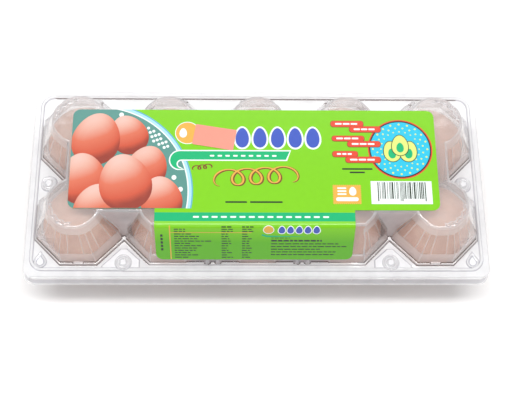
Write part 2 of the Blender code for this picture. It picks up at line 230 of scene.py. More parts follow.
def choose(kind, test):
    """In edit mode, selects each VERT, EDGE or FACE that passes the test, and says how many did."""
    bpy.ops.mesh.select_mode(type=kind)
    bpy.ops.mesh.select_all(action="DESELECT")
    thing = bpy.context.edit_object
    mesh = bmesh.from_edit_mesh(thing.data)
    parts = {"VERT": mesh.verts, "EDGE": mesh.edges, "FACE": mesh.faces}[kind]
    found = [part for part in parts if test(part)]
    for part in found:
        part.select_set(True)
    mesh.select_flush_mode()
    bmesh.update_edit_mesh(thing.data)
    return len(found)


def paint_chosen(thing, index):
    """In edit mode, gives the selected faces one of the object's materials."""
    thing.active_material_index = index
    bpy.ops.object.material_slot_assign()


def new(name, *materials):
    """Names the primitive that was just added, moves its place into its mesh and gives it its materials."""
    thing = bpy.context.object
    bpy.ops.object.transform_apply(location=True, rotation=True, scale=True)
    thing.name = thing.data.name = name
    for material in materials:
        thing.data.materials.append(material)
    return thing


def block(name, low, high, *materials):
    """A box between two corners."""
    bpy.ops.object.select_all(action="DESELECT")
    centre = (Vector(low) + Vector(high)) / 2
    bpy.ops.mesh.primitive_cube_add(size=1, location=centre, scale=Vector(high) - Vector(low))
    return new(name, *materials)


def copied(thing, offset):
    """A copy with its own mesh, moved by the offset."""
    only(thing)
    bpy.ops.object.duplicate_move(TRANSFORM_OT_translate={"value": offset})
    twin = bpy.context.object
    bpy.ops.object.transform_apply(location=True, rotation=True, scale=True)
    return twin


def flat(name, outline, z, *materials):
    """One flat face with this outline, facing up."""
    mesh = bpy.data.meshes.new(name)
    mesh.from_pydata([(x, y, z) for x, y in outline], [], [list(range(len(outline)))])
    thing = bpy.data.objects.new(name, mesh)
    bpy.context.scene.collection.objects.link(thing)
    for material in materials:
        mesh.materials.append(material)
    return thing


def arc(centre, radius, start, end, steps):
    """Points along an arc, its angles in degrees."""
    turns = [math.radians(start + (end - start) * i / steps) for i in range(steps + 1)]
    return [(centre[0] + radius * math.cos(t), centre[1] + radius * math.sin(t)) for t in turns]


def joined(target, parts, operation="UNION"):
    """Adds the parts to the target, or cuts them from it, with one Boolean on their collection."""
    group = bpy.data.collections.new("parts")
    for part in parts:
        group.objects.link(part)
    boolean = target.modifiers.new("boolean", "BOOLEAN")
    boolean.operation = operation
    boolean.operand_type = "COLLECTION"
    boolean.collection = group
    only(target)
    bpy.ops.object.modifier_apply(modifier="boolean")
    for part in parts:
        bpy.data.objects.remove(part, do_unlink=True)
    bpy.data.collections.remove(group)
    edit(target)
    bpy.ops.mesh.remove_doubles(threshold=0.004 * MM)
    bpy.ops.mesh.dissolve_limited(angle_limit=math.radians(0.3))
    done()
    return target


def surface_of(thing):
    """What the mesh's surface is now, to find the nearest place on it later."""
    mesh = thing.data
    return BVHTree.FromPolygons([v.co for v in mesh.vertices], [list(f.vertices) for f in mesh.polygons])


def lay_back(thing, surface, reach):
    """Puts each point that a bevel threw out further than this back on the surface, and counts them."""
    moved = 0
    for vertex in thing.data.vertices:
        nearest, normal, index, distance = surface.find_nearest(vertex.co)
        if distance > reach:
            vertex.co = nearest
            moved += 1
    return moved


def with_modifier(thing, kind, **settings):
    """Adds a modifier, sets it and applies it."""
    modifier = thing.modifiers.new("step", kind)
    for key, value in settings.items():
        setattr(modifier, key, value)
    only(thing)
    bpy.ops.object.modifier_apply(modifier="step")
    return thing


# %% [markdown]
# ## One cell of the lid
#
# Over each egg stands a dome with eight sides, each of three narrow facets, that turns round near its flat top.
# It could be carved from a cylinder, but it is quicker to grow it upwards. An octagon is drawn, its corners are
# bevelled with a square profile, which adds the points where the facets' lines start, and then the face is
# raised ring by ring. To Sphere turns the ring round where the shoulder begins. The lines between facets get a
# narrow bevel in the crease material, whose whiter veil is a painted highlight for the light they catch.

# %% Rings of the cell, as distances in and heights up
CELL_IN = PITCH / 2 + 0.05 * MM
SHELF_UP = 1.5 * MM
SHELF_IN = 1.2 * MM
BAND_UP = 10.7 * MM
BAND_IN = PITCH / 2 - 2.5 * MM
SHOULDER_UP = 25 * MM
SHOULDER_RADIUS = 16.55 * MM
LOBE_RADIUS = 14.5 * MM
ROOT = 0.5 * MM
OVER = 1 * MM
# To Sphere gives each point the ring's mean distance, which is this many times the octagon's apothem
MEAN_DISTANCE = (2 / math.cos(FACET_LINE) + 1 / math.cos(HALF_SIDE)) / 3


def octagon(name, apothem, z, *materials):
    """An octagon with the facets' points on its sides, left in edit mode with its face selected."""
    bpy.ops.object.select_all(action="DESELECT")
    bpy.ops.mesh.primitive_circle_add(vertices=8, radius=apothem / math.cos(HALF_SIDE), fill_type="NGON",
                                      location=(0, 0, z), rotation=(0, 0, HALF_SIDE))
    thing = new(name, *materials)
    edit(thing)
    from_corner = apothem * (math.tan(HALF_SIDE) - math.tan(FACET_LINE))
    bpy.ops.mesh.bevel(affect="VERTICES", offset=from_corner, segments=2, profile=1.0)
    return thing


def raise_face(up, scale=1.0, roundness=0.0):
    """Extrudes the selected face, scales it, and rounds its outline."""
    bpy.ops.mesh.extrude_region_move(TRANSFORM_OT_translate={"value": (0, 0, up)})
    bpy.ops.transform.resize(value=(scale, scale, 1))
    if roundness:
        bpy.ops.transform.tosphere(value=roundness)


def lid_cell():
    cell = octagon("cell", CELL_IN, LID_FLOOR - ROOT, *SHEETS)
    raise_face(ROOT + SHELF_UP)
    bpy.ops.mesh.inset(thickness=SHELF_IN)
    raise_face(BAND_UP - SHELF_UP, BAND_IN / (CELL_IN - SHELF_IN))
    shoulder = SHOULDER_RADIUS / MEAN_DISTANCE
    raise_face(SHOULDER_UP - BAND_UP, shoulder / BAND_IN, 0.75)
    slope = (SHOULDER_RADIUS - LOBE_RADIUS) / (LID_RISE - SHOULDER_UP)
    raise_face(LID_RISE + OVER - SHOULDER_UP, (LOBE_RADIUS - slope * OVER) / SHOULDER_RADIUS, 1.0)
    ridges = choose("EDGE", lambda e: abs(middle(e).z - LID_FLOOR - (BAND_UP + SHOULDER_UP) / 2) < MM)
    bpy.ops.mesh.bevel(offset=0.28 * MM, segments=1, material=CREASE_WHITE_AND_HIGHLIGHT)
    bpy.ops.mesh.select_all(action="SELECT")
    bpy.ops.mesh.normals_make_consistent(inside=False)
    done()
    print("lines between facets on a cell:", ridges)
    return cell


first_cell = lid_cell()
lid_cells = [copied(first_cell, (x, y, 0)) for x, y in cell_centres]
bpy.data.objects.remove(first_cell)
print("cells of the lid:", len(lid_cells))

# %% [markdown]
# ## What joins the cells
#
# Behind the outer rims of the domes one flat-topped middle runs through, so that cartons can stand on each
# other. It is a box whose top is a little smaller than its foot. At the front, the three middle cells share one
# straight wall, and the domes there are cut back to a slope for the label to lie on.

# %% The middle, the straight front and the slope
CORE_FOOT = 8.25 * MM
CORE_TOP = 4.85 * MM
LAST_X = column_x[-1]
FRONT_STRAIGHT = LAST_X / 2


def lid_core():
    foot = Vector((LAST_X + CORE_FOOT, ROW_Y + CORE_FOOT, LID_FLOOR - ROOT))
    head = Vector((LAST_X + CORE_TOP, ROW_Y + CORE_TOP, LID_TOP + OVER))
    core = block("core", (-foot.x, -foot.y, foot.z), (foot.x, foot.y, head.z), *SHEETS)
    edit(core)
    choose("FACE", lambda f: f.normal.z > 0.9)
    bpy.ops.transform.resize(value=(head.x / foot.x, head.y / foot.y, 1))
    done()
    return core


def straight_front():
    """The shelf and the band of the straight wall across the middle three cells."""
    front = -ROW_Y - CELL_IN
    shelf = block("front_shelf", (-FRONT_STRAIGHT, front, LID_FLOOR - ROOT),
                  (FRONT_STRAIGHT, -ROW_Y, LID_FLOOR + SHELF_UP), *SHEETS)
    band = block("front_band", (-FRONT_STRAIGHT, front + SHELF_IN, LID_FLOOR),
                 (FRONT_STRAIGHT, -ROW_Y, LID_FLOOR + BAND_UP), *SHEETS)
    edit(band)
    lean = (CELL_IN - SHELF_IN - BAND_IN) * BAND_UP / (BAND_UP - SHELF_UP)
    choose("VERT", lambda v: v.co.z > LID_FLOOR + SHELF_UP and v.co.y < front + 2 * SHELF_IN)
    bpy.ops.transform.translate(value=(0, lean, 0))
    choose("VERT", lambda v: v.co.z < LID_FLOOR + SHELF_UP and v.co.y < front + 2 * SHELF_IN)
    bpy.ops.transform.translate(value=(0, lean - (CELL_IN - SHELF_IN - BAND_IN), 0))
    done()
    return [shelf, band]


SLOPE_TOP_Y = -36.8 * MM
SLOPE_FOOT = Vector((0, -46.2 * MM, LID_FLOOR + 9.2 * MM))
SLOPE_HALF_WIDTH = 57.5 * MM


def slope_cutter():
    """What is cut from the domes' front: a box whose back face leans as the label does."""
    high = LID_TOP + 6 * MM
    run = (SLOPE_TOP_Y - SLOPE_FOOT.y) / (LID_TOP - SLOPE_FOOT.z)
    cutter = block("cutter", (-SLOPE_HALF_WIDTH, -80 * MM, SLOPE_FOOT.z), (SLOPE_HALF_WIDTH, SLOPE_FOOT.y, high),
                   *SHEETS)
    edit(cutter)
    choose("VERT", lambda v: v.co.y > -60 * MM and v.co.z > LID_TOP)
    bpy.ops.transform.translate(value=(0, run * (high - SLOPE_FOOT.z), 0))
    done()
    return cutter


core = lid_core()
front_parts = straight_front()
print("core and straight front added")

# %% [markdown]
# ## The flange and what stands on it
#
# The flange is the flat edge all round. Near its rim runs a narrow bead that stiffens it: a flat outline whose
# inset middle is deleted, and the ring that stays is pulled up. In the two front notches stand plates, whitened
# by a painted highlight, with press buttons, which hold the carton shut. A button is a small stack of rings: up,
# in, down, in, up. Two more buttons stand at the ends, and two drop-shaped marks in the front corners.

# %% The flange and its bead
FLANGE_FRONT = -55.8 * MM
FLANGE_CORNER = 5 * MM
BEAD_FROM_RIM = 3.4 * MM
BEAD_WIDTH = 1.6 * MM
BEAD_CORNER = 7.5 * MM
BEAD_UP = 0.8 * MM


def round_corners(radius):
    """In edit mode, bevels the upright edges."""
    choose("EDGE", lambda e: abs(e.verts[0].co.z - e.verts[1].co.z) > 0.5 * MM)
    bpy.ops.mesh.bevel(offset=radius, segments=6)


def round_box(left, front, right, back, radius, steps=5):
    """A rectangle's outline with round corners."""
    return (arc((right - radius, front + radius), radius, -90, 0, steps)
            + arc((right - radius, back - radius), radius, 0, 90, steps)
            + arc((left + radius, back - radius), radius, 90, 180, steps)
            + arc((left + radius, front + radius), radius, 180, 270, steps))


def raised(name, outline, foot, head):
    """A flat outline pulled up into a solid."""
    thing = flat(name, outline, foot, *SHEETS)
    edit(thing)
    bpy.ops.mesh.extrude_region_move(TRANSFORM_OT_translate={"value": (0, 0, head - foot)})
    bpy.ops.mesh.select_all(action="SELECT")
    bpy.ops.mesh.normals_make_consistent(inside=False)
    done()
    return thing


def lid_flange():
    flange = block("flange", (lid_low.x, FLANGE_FRONT, LID_BASE), (lid_high.x, lid_high.y, LID_FLOOR),
                   *SHEETS)
    edit(flange)
    round_corners(FLANGE_CORNER)
    done()
    return flange


def rim_bead():
    inset = BEAD_FROM_RIM
    outline = round_box(lid_low.x + inset, FLANGE_FRONT + inset, lid_high.x - inset, lid_high.y - inset,
                        BEAD_CORNER, 8)
    bead = flat("bead", outline, LID_FLOOR - ROOT, *SHEETS)
    edit(bead)
    bpy.ops.mesh.inset(thickness=BEAD_WIDTH)
    choose("FACE", lambda f: len(f.verts) > 4)
    bpy.ops.mesh.delete(type="FACE")
    bpy.ops.mesh.select_all(action="SELECT")
    bpy.ops.mesh.extrude_region_move(TRANSFORM_OT_translate={"value": (0, 0, ROOT + BEAD_UP)})
    bpy.ops.mesh.select_all(action="SELECT")
    bpy.ops.mesh.normals_make_consistent(inside=False)
    done()
    return bead


flange = lid_flange()
bead = rim_bead()
print("bead faces:", len(bead.data.polygons))

# %% Plates, buttons and marks on the flange
PLATE_UP = 0.6 * MM
BUTTON_RADIUS = 4.6 * MM
BUTTON_UP = 1.3 * MM
BUTTON_DISH = 0.5 * MM
BOSS_UP = 1.8 * MM
FRONT_BUTTON_Y = -47.9 * MM
END_BUTTON_X = 117.2 * MM
DROP_AT = Vector((119, -47.3)) * MM
DROP_SUNK = 0.35 * MM


def button(x, y, foot):
    """A press button: a ring with a dished top and a boss in its middle."""
    bpy.ops.object.select_all(action="DESELECT")
    bpy.ops.mesh.primitive_circle_add(vertices=28, radius=BUTTON_RADIUS, fill_type="NGON", location=(x, y, foot))
    thing = new("button", *SHEETS)
    edit(thing)
    raise_face(LID_FLOOR + BUTTON_UP - foot, 0.94)
    bpy.ops.mesh.inset(thickness=0.8 * MM)
    raise_face(-BUTTON_DISH, 0.93)
    bpy.ops.mesh.inset(thickness=0.9 * MM)
    raise_face(BOSS_UP - BUTTON_UP + BUTTON_DISH, 0.8)
    bpy.ops.mesh.select_all(action="SELECT")
    bpy.ops.mesh.normals_make_consistent(inside=False)
    done()
    return thing


def front_plate(side):
    """The plate in a front notch, the mirror image of the other."""
    middle_x = side * 1.5 * PITCH
    base_y = FLANGE_FRONT + BEAD_FROM_RIM + BEAD_WIDTH - 0.3 * MM
    half = [(1.6, -39.8), (-1.6, -39.8), (-8.8, -46.3)]
    outline = [(middle_x + side * x * MM, y * MM) for x, y in half]
    outline += [(middle_x - side * 8.8 * MM, base_y), (middle_x + side * 11.6 * MM, base_y),
                (middle_x + side * 11.6 * MM, base_y + 1.4 * MM)]
    return raised("plate", outline[::-side], LID_FLOOR - ROOT, LID_FLOOR + PLATE_UP)


def drop_mark(side):
    """A drop with a smaller one sunk in it."""
    x, y = side * DROP_AT.x, DROP_AT.y
    drop = raised("drop", arc((x, y), 3.4 * MM, 150, 390, 14) + [(x, y + 6 * MM)], LID_FLOOR - ROOT,
                  LID_FLOOR + PLATE_UP)
    edit(drop)
    choose("FACE", lambda f: f.normal.z > 0.9)
    bpy.ops.mesh.inset(thickness=0.9 * MM)
    bpy.ops.mesh.inset(thickness=0.3 * MM, depth=-DROP_SUNK)
    done()
    return drop


on_flange = []
for side in (-1, 1):
    on_flange += [front_plate(side), button(side * 1.5 * PITCH, FRONT_BUTTON_Y, LID_FLOOR - ROOT),
                  button(side * END_BUTTON_X, -1 * MM, LID_FLOOR - ROOT), drop_mark(side)]
print("forms on the flange:", len(on_flange))

# %% [markdown]
# ## Small forms on the lid
#
# On each corner dome lies an arc that keeps the next carton from sliding. Where the outer cells meet their
# shelf, a small tab bridges the step, and the straight front has two pairs of little pips.

# %% Ribs, tabs and pips
RIB_RADII = (11.7 * MM, 13.1 * MM)
RIB_WAVE = 0.45 * MM
RIM_ROUND = 1.1 * MM


def corner_rib(x, y, start):
    """A rib that wavers along its length."""
    outline = []
    for radius, order in ((RIB_RADII[1], range(33)), (RIB_RADII[0], range(32, -1, -1))):
        for i in order:
            turn = math.radians(start + 2.5 * i)
            away = radius + RIB_WAVE * math.sin(0.75 * i)
            outline.append((x + away * math.cos(turn), y + away * math.sin(turn)))
    return raised("rib", outline, LID_TOP - 2 * RIM_ROUND, LID_TOP + RIB_RISE)


def shelf_tab(x):
    front = -ROW_Y - CELL_IN
    return block("tab", (x - 2.7 * MM, front + 0.5 * MM, LID_FLOOR),
                 (x + 2.7 * MM, front + 3 * MM, LID_FLOOR + SHELF_UP + 0.6 * MM), *SHEETS)


def pip(x):
    bpy.ops.object.select_all(action="DESELECT")
    at = (x, -ROW_Y - CELL_IN + SHELF_IN + 0.5 * MM, LID_FLOOR + 3.4 * MM)
    bpy.ops.mesh.primitive_cone_add(vertices=12, radius1=2 * MM, radius2=0.9 * MM, depth=4.5 * MM, location=at)
    return new("pip", *SHEETS)


small_forms = [corner_rib(LAST_X, -ROW_Y, 275), corner_rib(LAST_X, ROW_Y, 5), corner_rib(-LAST_X, ROW_Y, 95),
               corner_rib(-LAST_X, -ROW_Y, 185)]
small_forms += [shelf_tab(x) for x in (column_x[0], column_x[-1])]
small_forms += [pip(side * PITCH / 2 + step * 2.9 * MM) for side in (-1, 1) for step in (-1, 1)]
print("small forms:", len(small_forms))

# %% [markdown]
# ## From solid to sheet
#
# The forms are joined into one solid, like the mould. Bisect cuts the domes flat. Then the underside is deleted,
# so that only the outer skin is left, its edges are bevelled, as a hot sheet never takes a sharp corner, and
# Solidify gives it the sheet's thickness on the inside. The bevels take the crease material, whose whiter veil is
# partly painted highlight, and those in the inner folds then take sheets of painted shade.

# %% Join, open, round off and thicken the lid
def cut_flat(thing, z):
    """Cuts all above z away and closes the cut."""
    edit(thing)
    bpy.ops.mesh.bisect(plane_co=(0, 0, z), plane_no=(0, 0, 1), use_fill=True, clear_outer=True)
    done()


def rounded(thing, width):
    """Rounds the sharp edges, and gives the new faces the crease material, whose white is partly painted highlight.
    """
    edit(thing)
    bpy.ops.mesh.remove_doubles(threshold=0.1 * MM)
    # In triangles, a bevel that is wider than a short edge does no harm far from it
    bpy.ops.mesh.quads_convert_to_tris(ngon_method="BEAUTY")
    done()
    surface = surface_of(thing)
    with_modifier(thing, "BEVEL", width=width, segments=3, limit_method="ANGLE", angle_limit=math.radians(28),
                  use_clamp_overlap=False, material=CREASE_WHITE_AND_HIGHLIGHT)
    print("points laid back on", thing.name, lay_back(thing, surface, 0.6 * width))


def round_rim(thing):
    """Rounds the edge of the flat top."""
    surface = surface_of(thing)
    edit(thing)
    count = choose("EDGE", lambda e: min(v.co.z for v in e.verts) > LID_TOP - 0.01 * MM
                   and sum(f.normal.z > 0.99 for f in e.link_faces) == 1)
    # The rim's bevel takes the crease material, whose whiter veil is a painted highlight along the rim
    bpy.ops.mesh.bevel(offset=RIM_ROUND, segments=4, material=CREASE_WHITE_AND_HIGHLIGHT, clamp_overlap=False)
    done()
    print("edges round the flat top:", count, "| points laid back:", lay_back(thing, surface, 0.6 * RIM_ROUND))


def smooth(thing, degrees):
    only(thing)
    bpy.ops.object.shade_smooth_by_angle(angle=math.radians(degrees))


def in_fold(face, level):
    """Whether a bevel face lies in an inner fold just above this height over the flange."""
    up = middle(face).z - LID_FLOOR - level
    return face.material_index == CREASE_WHITE_AND_HIGHLIGHT and 0.02 * MM < up < 0.4 * MM


def beside_cell(face):
    at = middle(face)
    from_cell = min(max(abs(at.x - x), abs(at.y - y), (abs(at.x - x) + abs(at.y - y)) / math.sqrt(2))
                    for x, y in cell_centres)
    return from_cell < CELL_IN + MM or (abs(at.x) < FRONT_STRAIGHT and at.y > -ROW_Y - CELL_IN - MM)


def build_lid():
    lid = joined(core, lid_cells + front_parts)
    cut_flat(lid, LID_TOP)
    joined(lid, [slope_cutter()], "DIFFERENCE")
    round_rim(lid)
    joined(lid, [flange, bead] + on_flange + small_forms)
    lid.name = lid.data.name = "lid_sheet"
    edit(lid)
    under = choose("FACE", lambda f: f.normal.z < -0.9 and middle(f).z < LID_BASE + 0.05 * MM)
    bpy.ops.mesh.delete(type="FACE")
    # The ends of the rim are drawn down a little further, over the tray's edge
    choose("EDGE", lambda e: e.is_boundary and abs(middle(e).x) > lid_high.x - 0.1 * MM)
    bpy.ops.mesh.extrude_edges_move(TRANSFORM_OT_translate={"value": (0, 0, lid_low.z - LID_BASE)})
    choose("FACE", lambda f: f.material_index != CREASE_WHITE_AND_HIGHLIGHT and middle(f).z > LID_FLOOR + SHELF_UP + 0.1 * MM)
    paint_chosen(lid, DRAWN)
    choose("FACE", lambda f: f.material_index == DRAWN and middle(f).z > LID_FLOOR + BAND_UP + 0.1 * MM
           and (middle(f).z < LID_FLOOR + SHOULDER_UP or abs(f.normal.z) < 0.14) and middle(f).z < LID_TOP - 0.1 * MM)
    paint_chosen(lid, FACET)
    # Painted reflection: the webs between the domes get a milky sheet tinted pink for the eggs' colour
    webs = choose("FACE", lambda f: f.material_index == FACET and abs(f.normal.z) < 0.14)
    paint_chosen(lid, WEB_PAINTED_EGG_TINT)
    # The lines between facets keep the whiter drawn sheet, a painted highlight along them
    choose("FACE", lambda f: f.material_index == CREASE_WHITE_AND_HIGHLIGHT and BAND_UP < middle(f).z - LID_FLOOR < SHOULDER_UP)
    paint_chosen(lid, DRAWN)
    choose("FACE", lambda f: f.normal.z > 0.99 and middle(f).z > LID_TOP - 0.1 * MM)
    paint_chosen(lid, DOME_TOP)
    # The plates stand clear of the tray; they, the drops' sunk middles and the buttons' bosses get a whiter sheet as
    # painted highlight
    plates = choose("FACE", lambda f: f.normal.z > 0.99 and abs(middle(f).z - LID_FLOOR - PLATE_UP) < 0.02 * MM
                    and abs(abs(middle(f).x) - 1.5 * PITCH) < PITCH / 4
                    or abs(middle(f).z - LID_FLOOR - BOSS_UP) < 0.02 * MM
                    or f.normal.z > 0.99 and abs(middle(f).z - LID_FLOOR - PLATE_UP + DROP_SUNK) < 0.02 * MM)
    paint_chosen(lid, PLATE_PAINTED_HIGHLIGHT)
    done()
    print("faces on top of the plates:", plates, "| webs between the domes:", webs)
    rounded(lid, 0.4 * MM)
    edit(lid)
    # Painted shade: the folds on the flange get the grey sheet
    seams = choose("FACE", lambda f: in_fold(f, 0) and not beside_cell(f))
    paint_chosen(lid, SEAM_PAINTED_SHADE)
    # Painted shade: the folds round the cells get the dark brown sheet
    folds = choose("FACE", lambda f: (in_fold(f, 0) or in_fold(f, SHELF_UP)) and beside_cell(f))
    paint_chosen(lid, FOLD_PAINTED_SHADE)
    done()
    print("faces in the inner folds round the cells:", folds, "| on the flange:", seams)
    with_modifier(lid, "SOLIDIFY", thickness=SHEET, offset=-1, use_even_offset=False)
    smooth(lid, 32)
    with_modifier(lid, "WEIGHTED_NORMAL", mode="FACE_AREA", weight=50, keep_sharp=True)
    print("underside faces deleted:", under, "| faces of the lid:", len(lid.data.polygons))
    return lid


lid_sheet = build_lid()
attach(lid_sheet, "lid")
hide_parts("lid")

# %% [markdown]
# ## The tray
#
# The tray is the same sheet with ten deep cups. It is easiest to think of the mould again: a slab with ten
# hollows cut into it. Its outer walls and floor are then deleted, which leaves the flat top and the cups, and
# the open edge is pulled down in front and at the ends into the lip that the lid rests on.

# %% Cut ten cups into a slab
CUP_MOUTH = 23.6 * MM
# Going down: height above the table, apothem, and how round the ring is drawn
CUP_RINGS = [(28, 22.9, 0.15), (22, 22.0, 0.3), (17, 20.5, 0.4), (12, 18.3, 0.5), (7, 15.4, 0.6), (3.4, 12.5, 0.8),
             (1.5, 10.3, 1.0)]
CUP_FLOOR = 0.9 * MM
CUP_FLOOR_SHARE = 0.88
TRAY_FRONT = -56.7 * MM
TRAY_HALF_LENGTH = 126.6 * MM
TRAY_BACK = 58.1 * MM
SKIRT_DROP = 3.8 * MM
SKIRT_FLARE = 1.2 * MM
SKIRT_TURN = 0.7 * MM


def cup():
    thing = octagon("cup", CUP_MOUTH, TRAY_TOP + 1 * MM, *SHEETS)
    above, apothem = TRAY_TOP + 1 * MM, CUP_MOUTH
    for z, next_apothem, roundness in CUP_RINGS:
        raise_face(z * MM - above, next_apothem * MM / apothem, roundness)
        above, apothem = z * MM, next_apothem * MM
    raise_face(CUP_FLOOR - above, CUP_FLOOR_SHARE)
    bpy.ops.mesh.select_all(action="SELECT")
    bpy.ops.mesh.normals_make_consistent(inside=False)
    done()
    return thing


def in_skirt(face):
    at = middle(face)
    return at.y < TRAY_FRONT + 0.05 * MM or abs(at.x) > TRAY_HALF_LENGTH - FLANGE_CORNER and abs(at.z - TRAY_TOP) > MM


def build_tray():
    slab = block("tray_sheet", (-TRAY_HALF_LENGTH, TRAY_FRONT, -4 * MM), (TRAY_HALF_LENGTH, TRAY_BACK, TRAY_TOP),
                 *SHEETS)
    edit(slab)
    round_corners(FLANGE_CORNER)
    done()
    first_cup = cup()
    cups = [copied(first_cup, (x, y, 0)) for x, y in cell_centres]
    bpy.data.objects.remove(first_cup)
    joined(slab, cups, "DIFFERENCE")
    edit(slab)

    def outer(face):
        at = middle(face)
        wall = abs(face.normal.z) < 0.1 and (abs(at.x) > 123 * MM or abs(at.y) > 50 * MM)
        return wall or at.z < -3 * MM

    choose("FACE", outer)
    bpy.ops.mesh.delete(type="FACE")

    def lip_edge(edge):
        return edge.is_boundary and middle(edge).y < TRAY_BACK - 0.1 * MM

    choose("FACE", lambda f: middle(f).z < TRAY_TOP - 0.1 * MM)
    paint_chosen(slab, DRAWN)
    choose("EDGE", lip_edge)
    bpy.ops.mesh.extrude_edges_move(TRANSFORM_OT_translate={"value": (0, 0, -0.9 * MM)})
    bpy.ops.mesh.extrude_edges_move(TRANSFORM_OT_translate={"value": (0, 0, -SKIRT_DROP)})
    bpy.ops.transform.shrink_fatten(value=SKIRT_FLARE)
    # The last of the skirt is turned outwards, which makes its white edge; the crease material there adds a painted
    # highlight
    bpy.ops.mesh.extrude_edges_move(TRANSFORM_OT_translate={"value": (0, 0, 0)})
    bpy.ops.transform.shrink_fatten(value=SKIRT_TURN)
    skirt_foot = TRAY_TOP - 0.9 * MM - SKIRT_DROP
    # Painted shade: the skirt's steep faces take the grey fold sheet
    choose("FACE", lambda f: skirt_foot + 0.1 * MM < middle(f).z < TRAY_TOP - MM and in_skirt(f))
    paint_chosen(slab, SEAM_PAINTED_SHADE)
    choose("FACE", lambda f: middle(f).z < skirt_foot + 0.1 * MM and in_skirt(f))
    paint_chosen(slab, CREASE_WHITE_AND_HIGHLIGHT)
    done()
    for vertex in slab.data.vertices:
        vertex.co.y = min(vertex.co.y, TRAY_BACK)
    rounded(slab, 0.5 * MM)
    edit(slab)
    choose("FACE", lambda f: f.material_index == CREASE_WHITE_AND_HIGHLIGHT and middle(f).z < TRAY_TOP - 5.5 * MM)
    paint_chosen(slab, DRAWN)
    done()
    with_modifier(slab, "SOLIDIFY", thickness=SHEET, offset=-1, use_even_offset=False)
    smooth(slab, 32)
    with_modifier(slab, "WEIGHTED_NORMAL", mode="FACE_AREA", weight=50, keep_sharp=True)
    print("faces of the tray:", len(slab.data.polygons))
    return slab


tray_sheet = build_tray()
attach(tray_sheet, "tray")
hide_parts("tray")

# %% [markdown]
# ## The living hinge
#
# Tray and lid are one sheet, folded along the back. A narrow strip of it bends there each time the carton is
# opened.

# %% Spin the fold of the sheet
hinge = next(joint for joint in frame["joints"] if joint["name"] == "lid_hinge")
HINGE_Z = hinge["pos_m"][2]
HINGE_RADIUS = 0.65 * MM
HINGE_HALF_LENGTH = 122 * MM


def hinge_fold():
    y = TRAY_BACK - 0.2 * MM
    fold = block("hinge_fold", (-HINGE_HALF_LENGTH, y - 0.01 * MM, HINGE_Z - HINGE_RADIUS - 0.3 * MM),
                 (HINGE_HALF_LENGTH, y, HINGE_Z - HINGE_RADIUS), pet_crease_whitened_and_highlit)
    edit(fold)
    choose("FACE", lambda f: f.normal.y > 0.9)
    bpy.ops.mesh.spin(steps=10, angle=math.pi, center=(0, y, HINGE_Z), axis=(1, 0, 0))
    bpy.ops.mesh.select_all(action="SELECT")
    bpy.ops.mesh.remove_doubles(threshold=0.004 * MM)
    bpy.ops.mesh.normals_make_consistent(inside=False)
    done()
    smooth(fold, 40)
    heights = [v.co.z / MM for v in fold.data.vertices]
    print(f"hinge fold from {min(heights):.2f} to {max(heights):.2f} mm")
    return fold


hinge_strip = hinge_fold()
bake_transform(hinge_strip)

# %% [markdown]
# ## The eggs
#
# A brown eggshell is calcite with a thin coloured bloom. It is satin, not shiny, with pores that show as fine
# dimples, darker specks and a slow change of tone from egg to egg. An egg's outline is two half ellipses, a long
# one below its widest part and a short one above, so a sphere is stretched by halves. Each egg is then fitted
# to its own solid in the frame.

# %% Eggshell
def eggshell_material():
    material, tree = empty_material("brown_eggshell")
    place = add(tree, "ShaderNodeTexCoord")
    slow = add(tree, "ShaderNodeTexNoise", {"Scale": size(60), "Detail": 1.0}, {"Vector": place.outputs["Object"]})
    tone = add(tree, "ShaderNodeMix", {"data_type": "RGBA", 6: colour("#D9A88F"), 7: colour("#E6BFAC")},
               {0: slow.outputs["Fac"]})
    # Bloom lies in clouds a few millimetres across
    clouds = add(tree, "ShaderNodeTexNoise", {"Scale": size(4), "Detail": 4.0}, {"Vector": place.outputs["Object"]})
    cloud_share = add(tree, "ShaderNodeMapRange", {"From Min": 0.35, "From Max": 0.75, "To Max": 0.35},
                      {"Value": clouds.outputs["Fac"]})
    clouded = add(tree, "ShaderNodeMix", {"data_type": "RGBA", 7: colour("#C99378")},
                  {0: cloud_share.outputs["Result"], 6: tone.outputs[2]})
    # Specks of darker pigment, drawn at 1.2 mm because real ones would not show
    specks = add(tree, "ShaderNodeTexVoronoi", {"Scale": size(1.2)}, {"Vector": place.outputs["Object"]})
    speck_share = add(tree, "ShaderNodeMapRange", {"From Min": 0.0, "From Max": 0.28, "To Min": 0.3, "To Max": 0.0},
                      {"Value": specks.outputs["Distance"]})
    specked = add(tree, "ShaderNodeMix", {"data_type": "RGBA", 7: colour("#AD7558")},
                  {0: speck_share.outputs["Result"], 6: clouded.outputs[2]})
    pores = add(tree, "ShaderNodeTexNoise", {"Scale": size(0.7), "Detail": 3.0}, {"Vector": place.outputs["Object"]})
    bump = add(tree, "ShaderNodeBump", {"Strength": 0.25, "Distance": 0.15 * MM}, {"Height": pores.outputs["Fac"]})
    shader = add(tree, "ShaderNodeBsdfPrincipled", {"Roughness": 0.46, "IOR": 1.5, "Subsurface Weight": 0.08,
                                                    "Subsurface Scale": 1.5 * MM},
                 {"Base Color": specked.outputs[2], "Normal": bump.outputs["Normal"]})
    add(tree, "ShaderNodeOutputMaterial", {}, {"Surface": shader.outputs["BSDF"]})
    return material


eggshell = eggshell_material()

# %% Ten eggs
WIDEST = 0.56
unevenness = bpy.data.textures.new("unevenness", "CLOUDS")
unevenness.noise_scale = 16 * MM


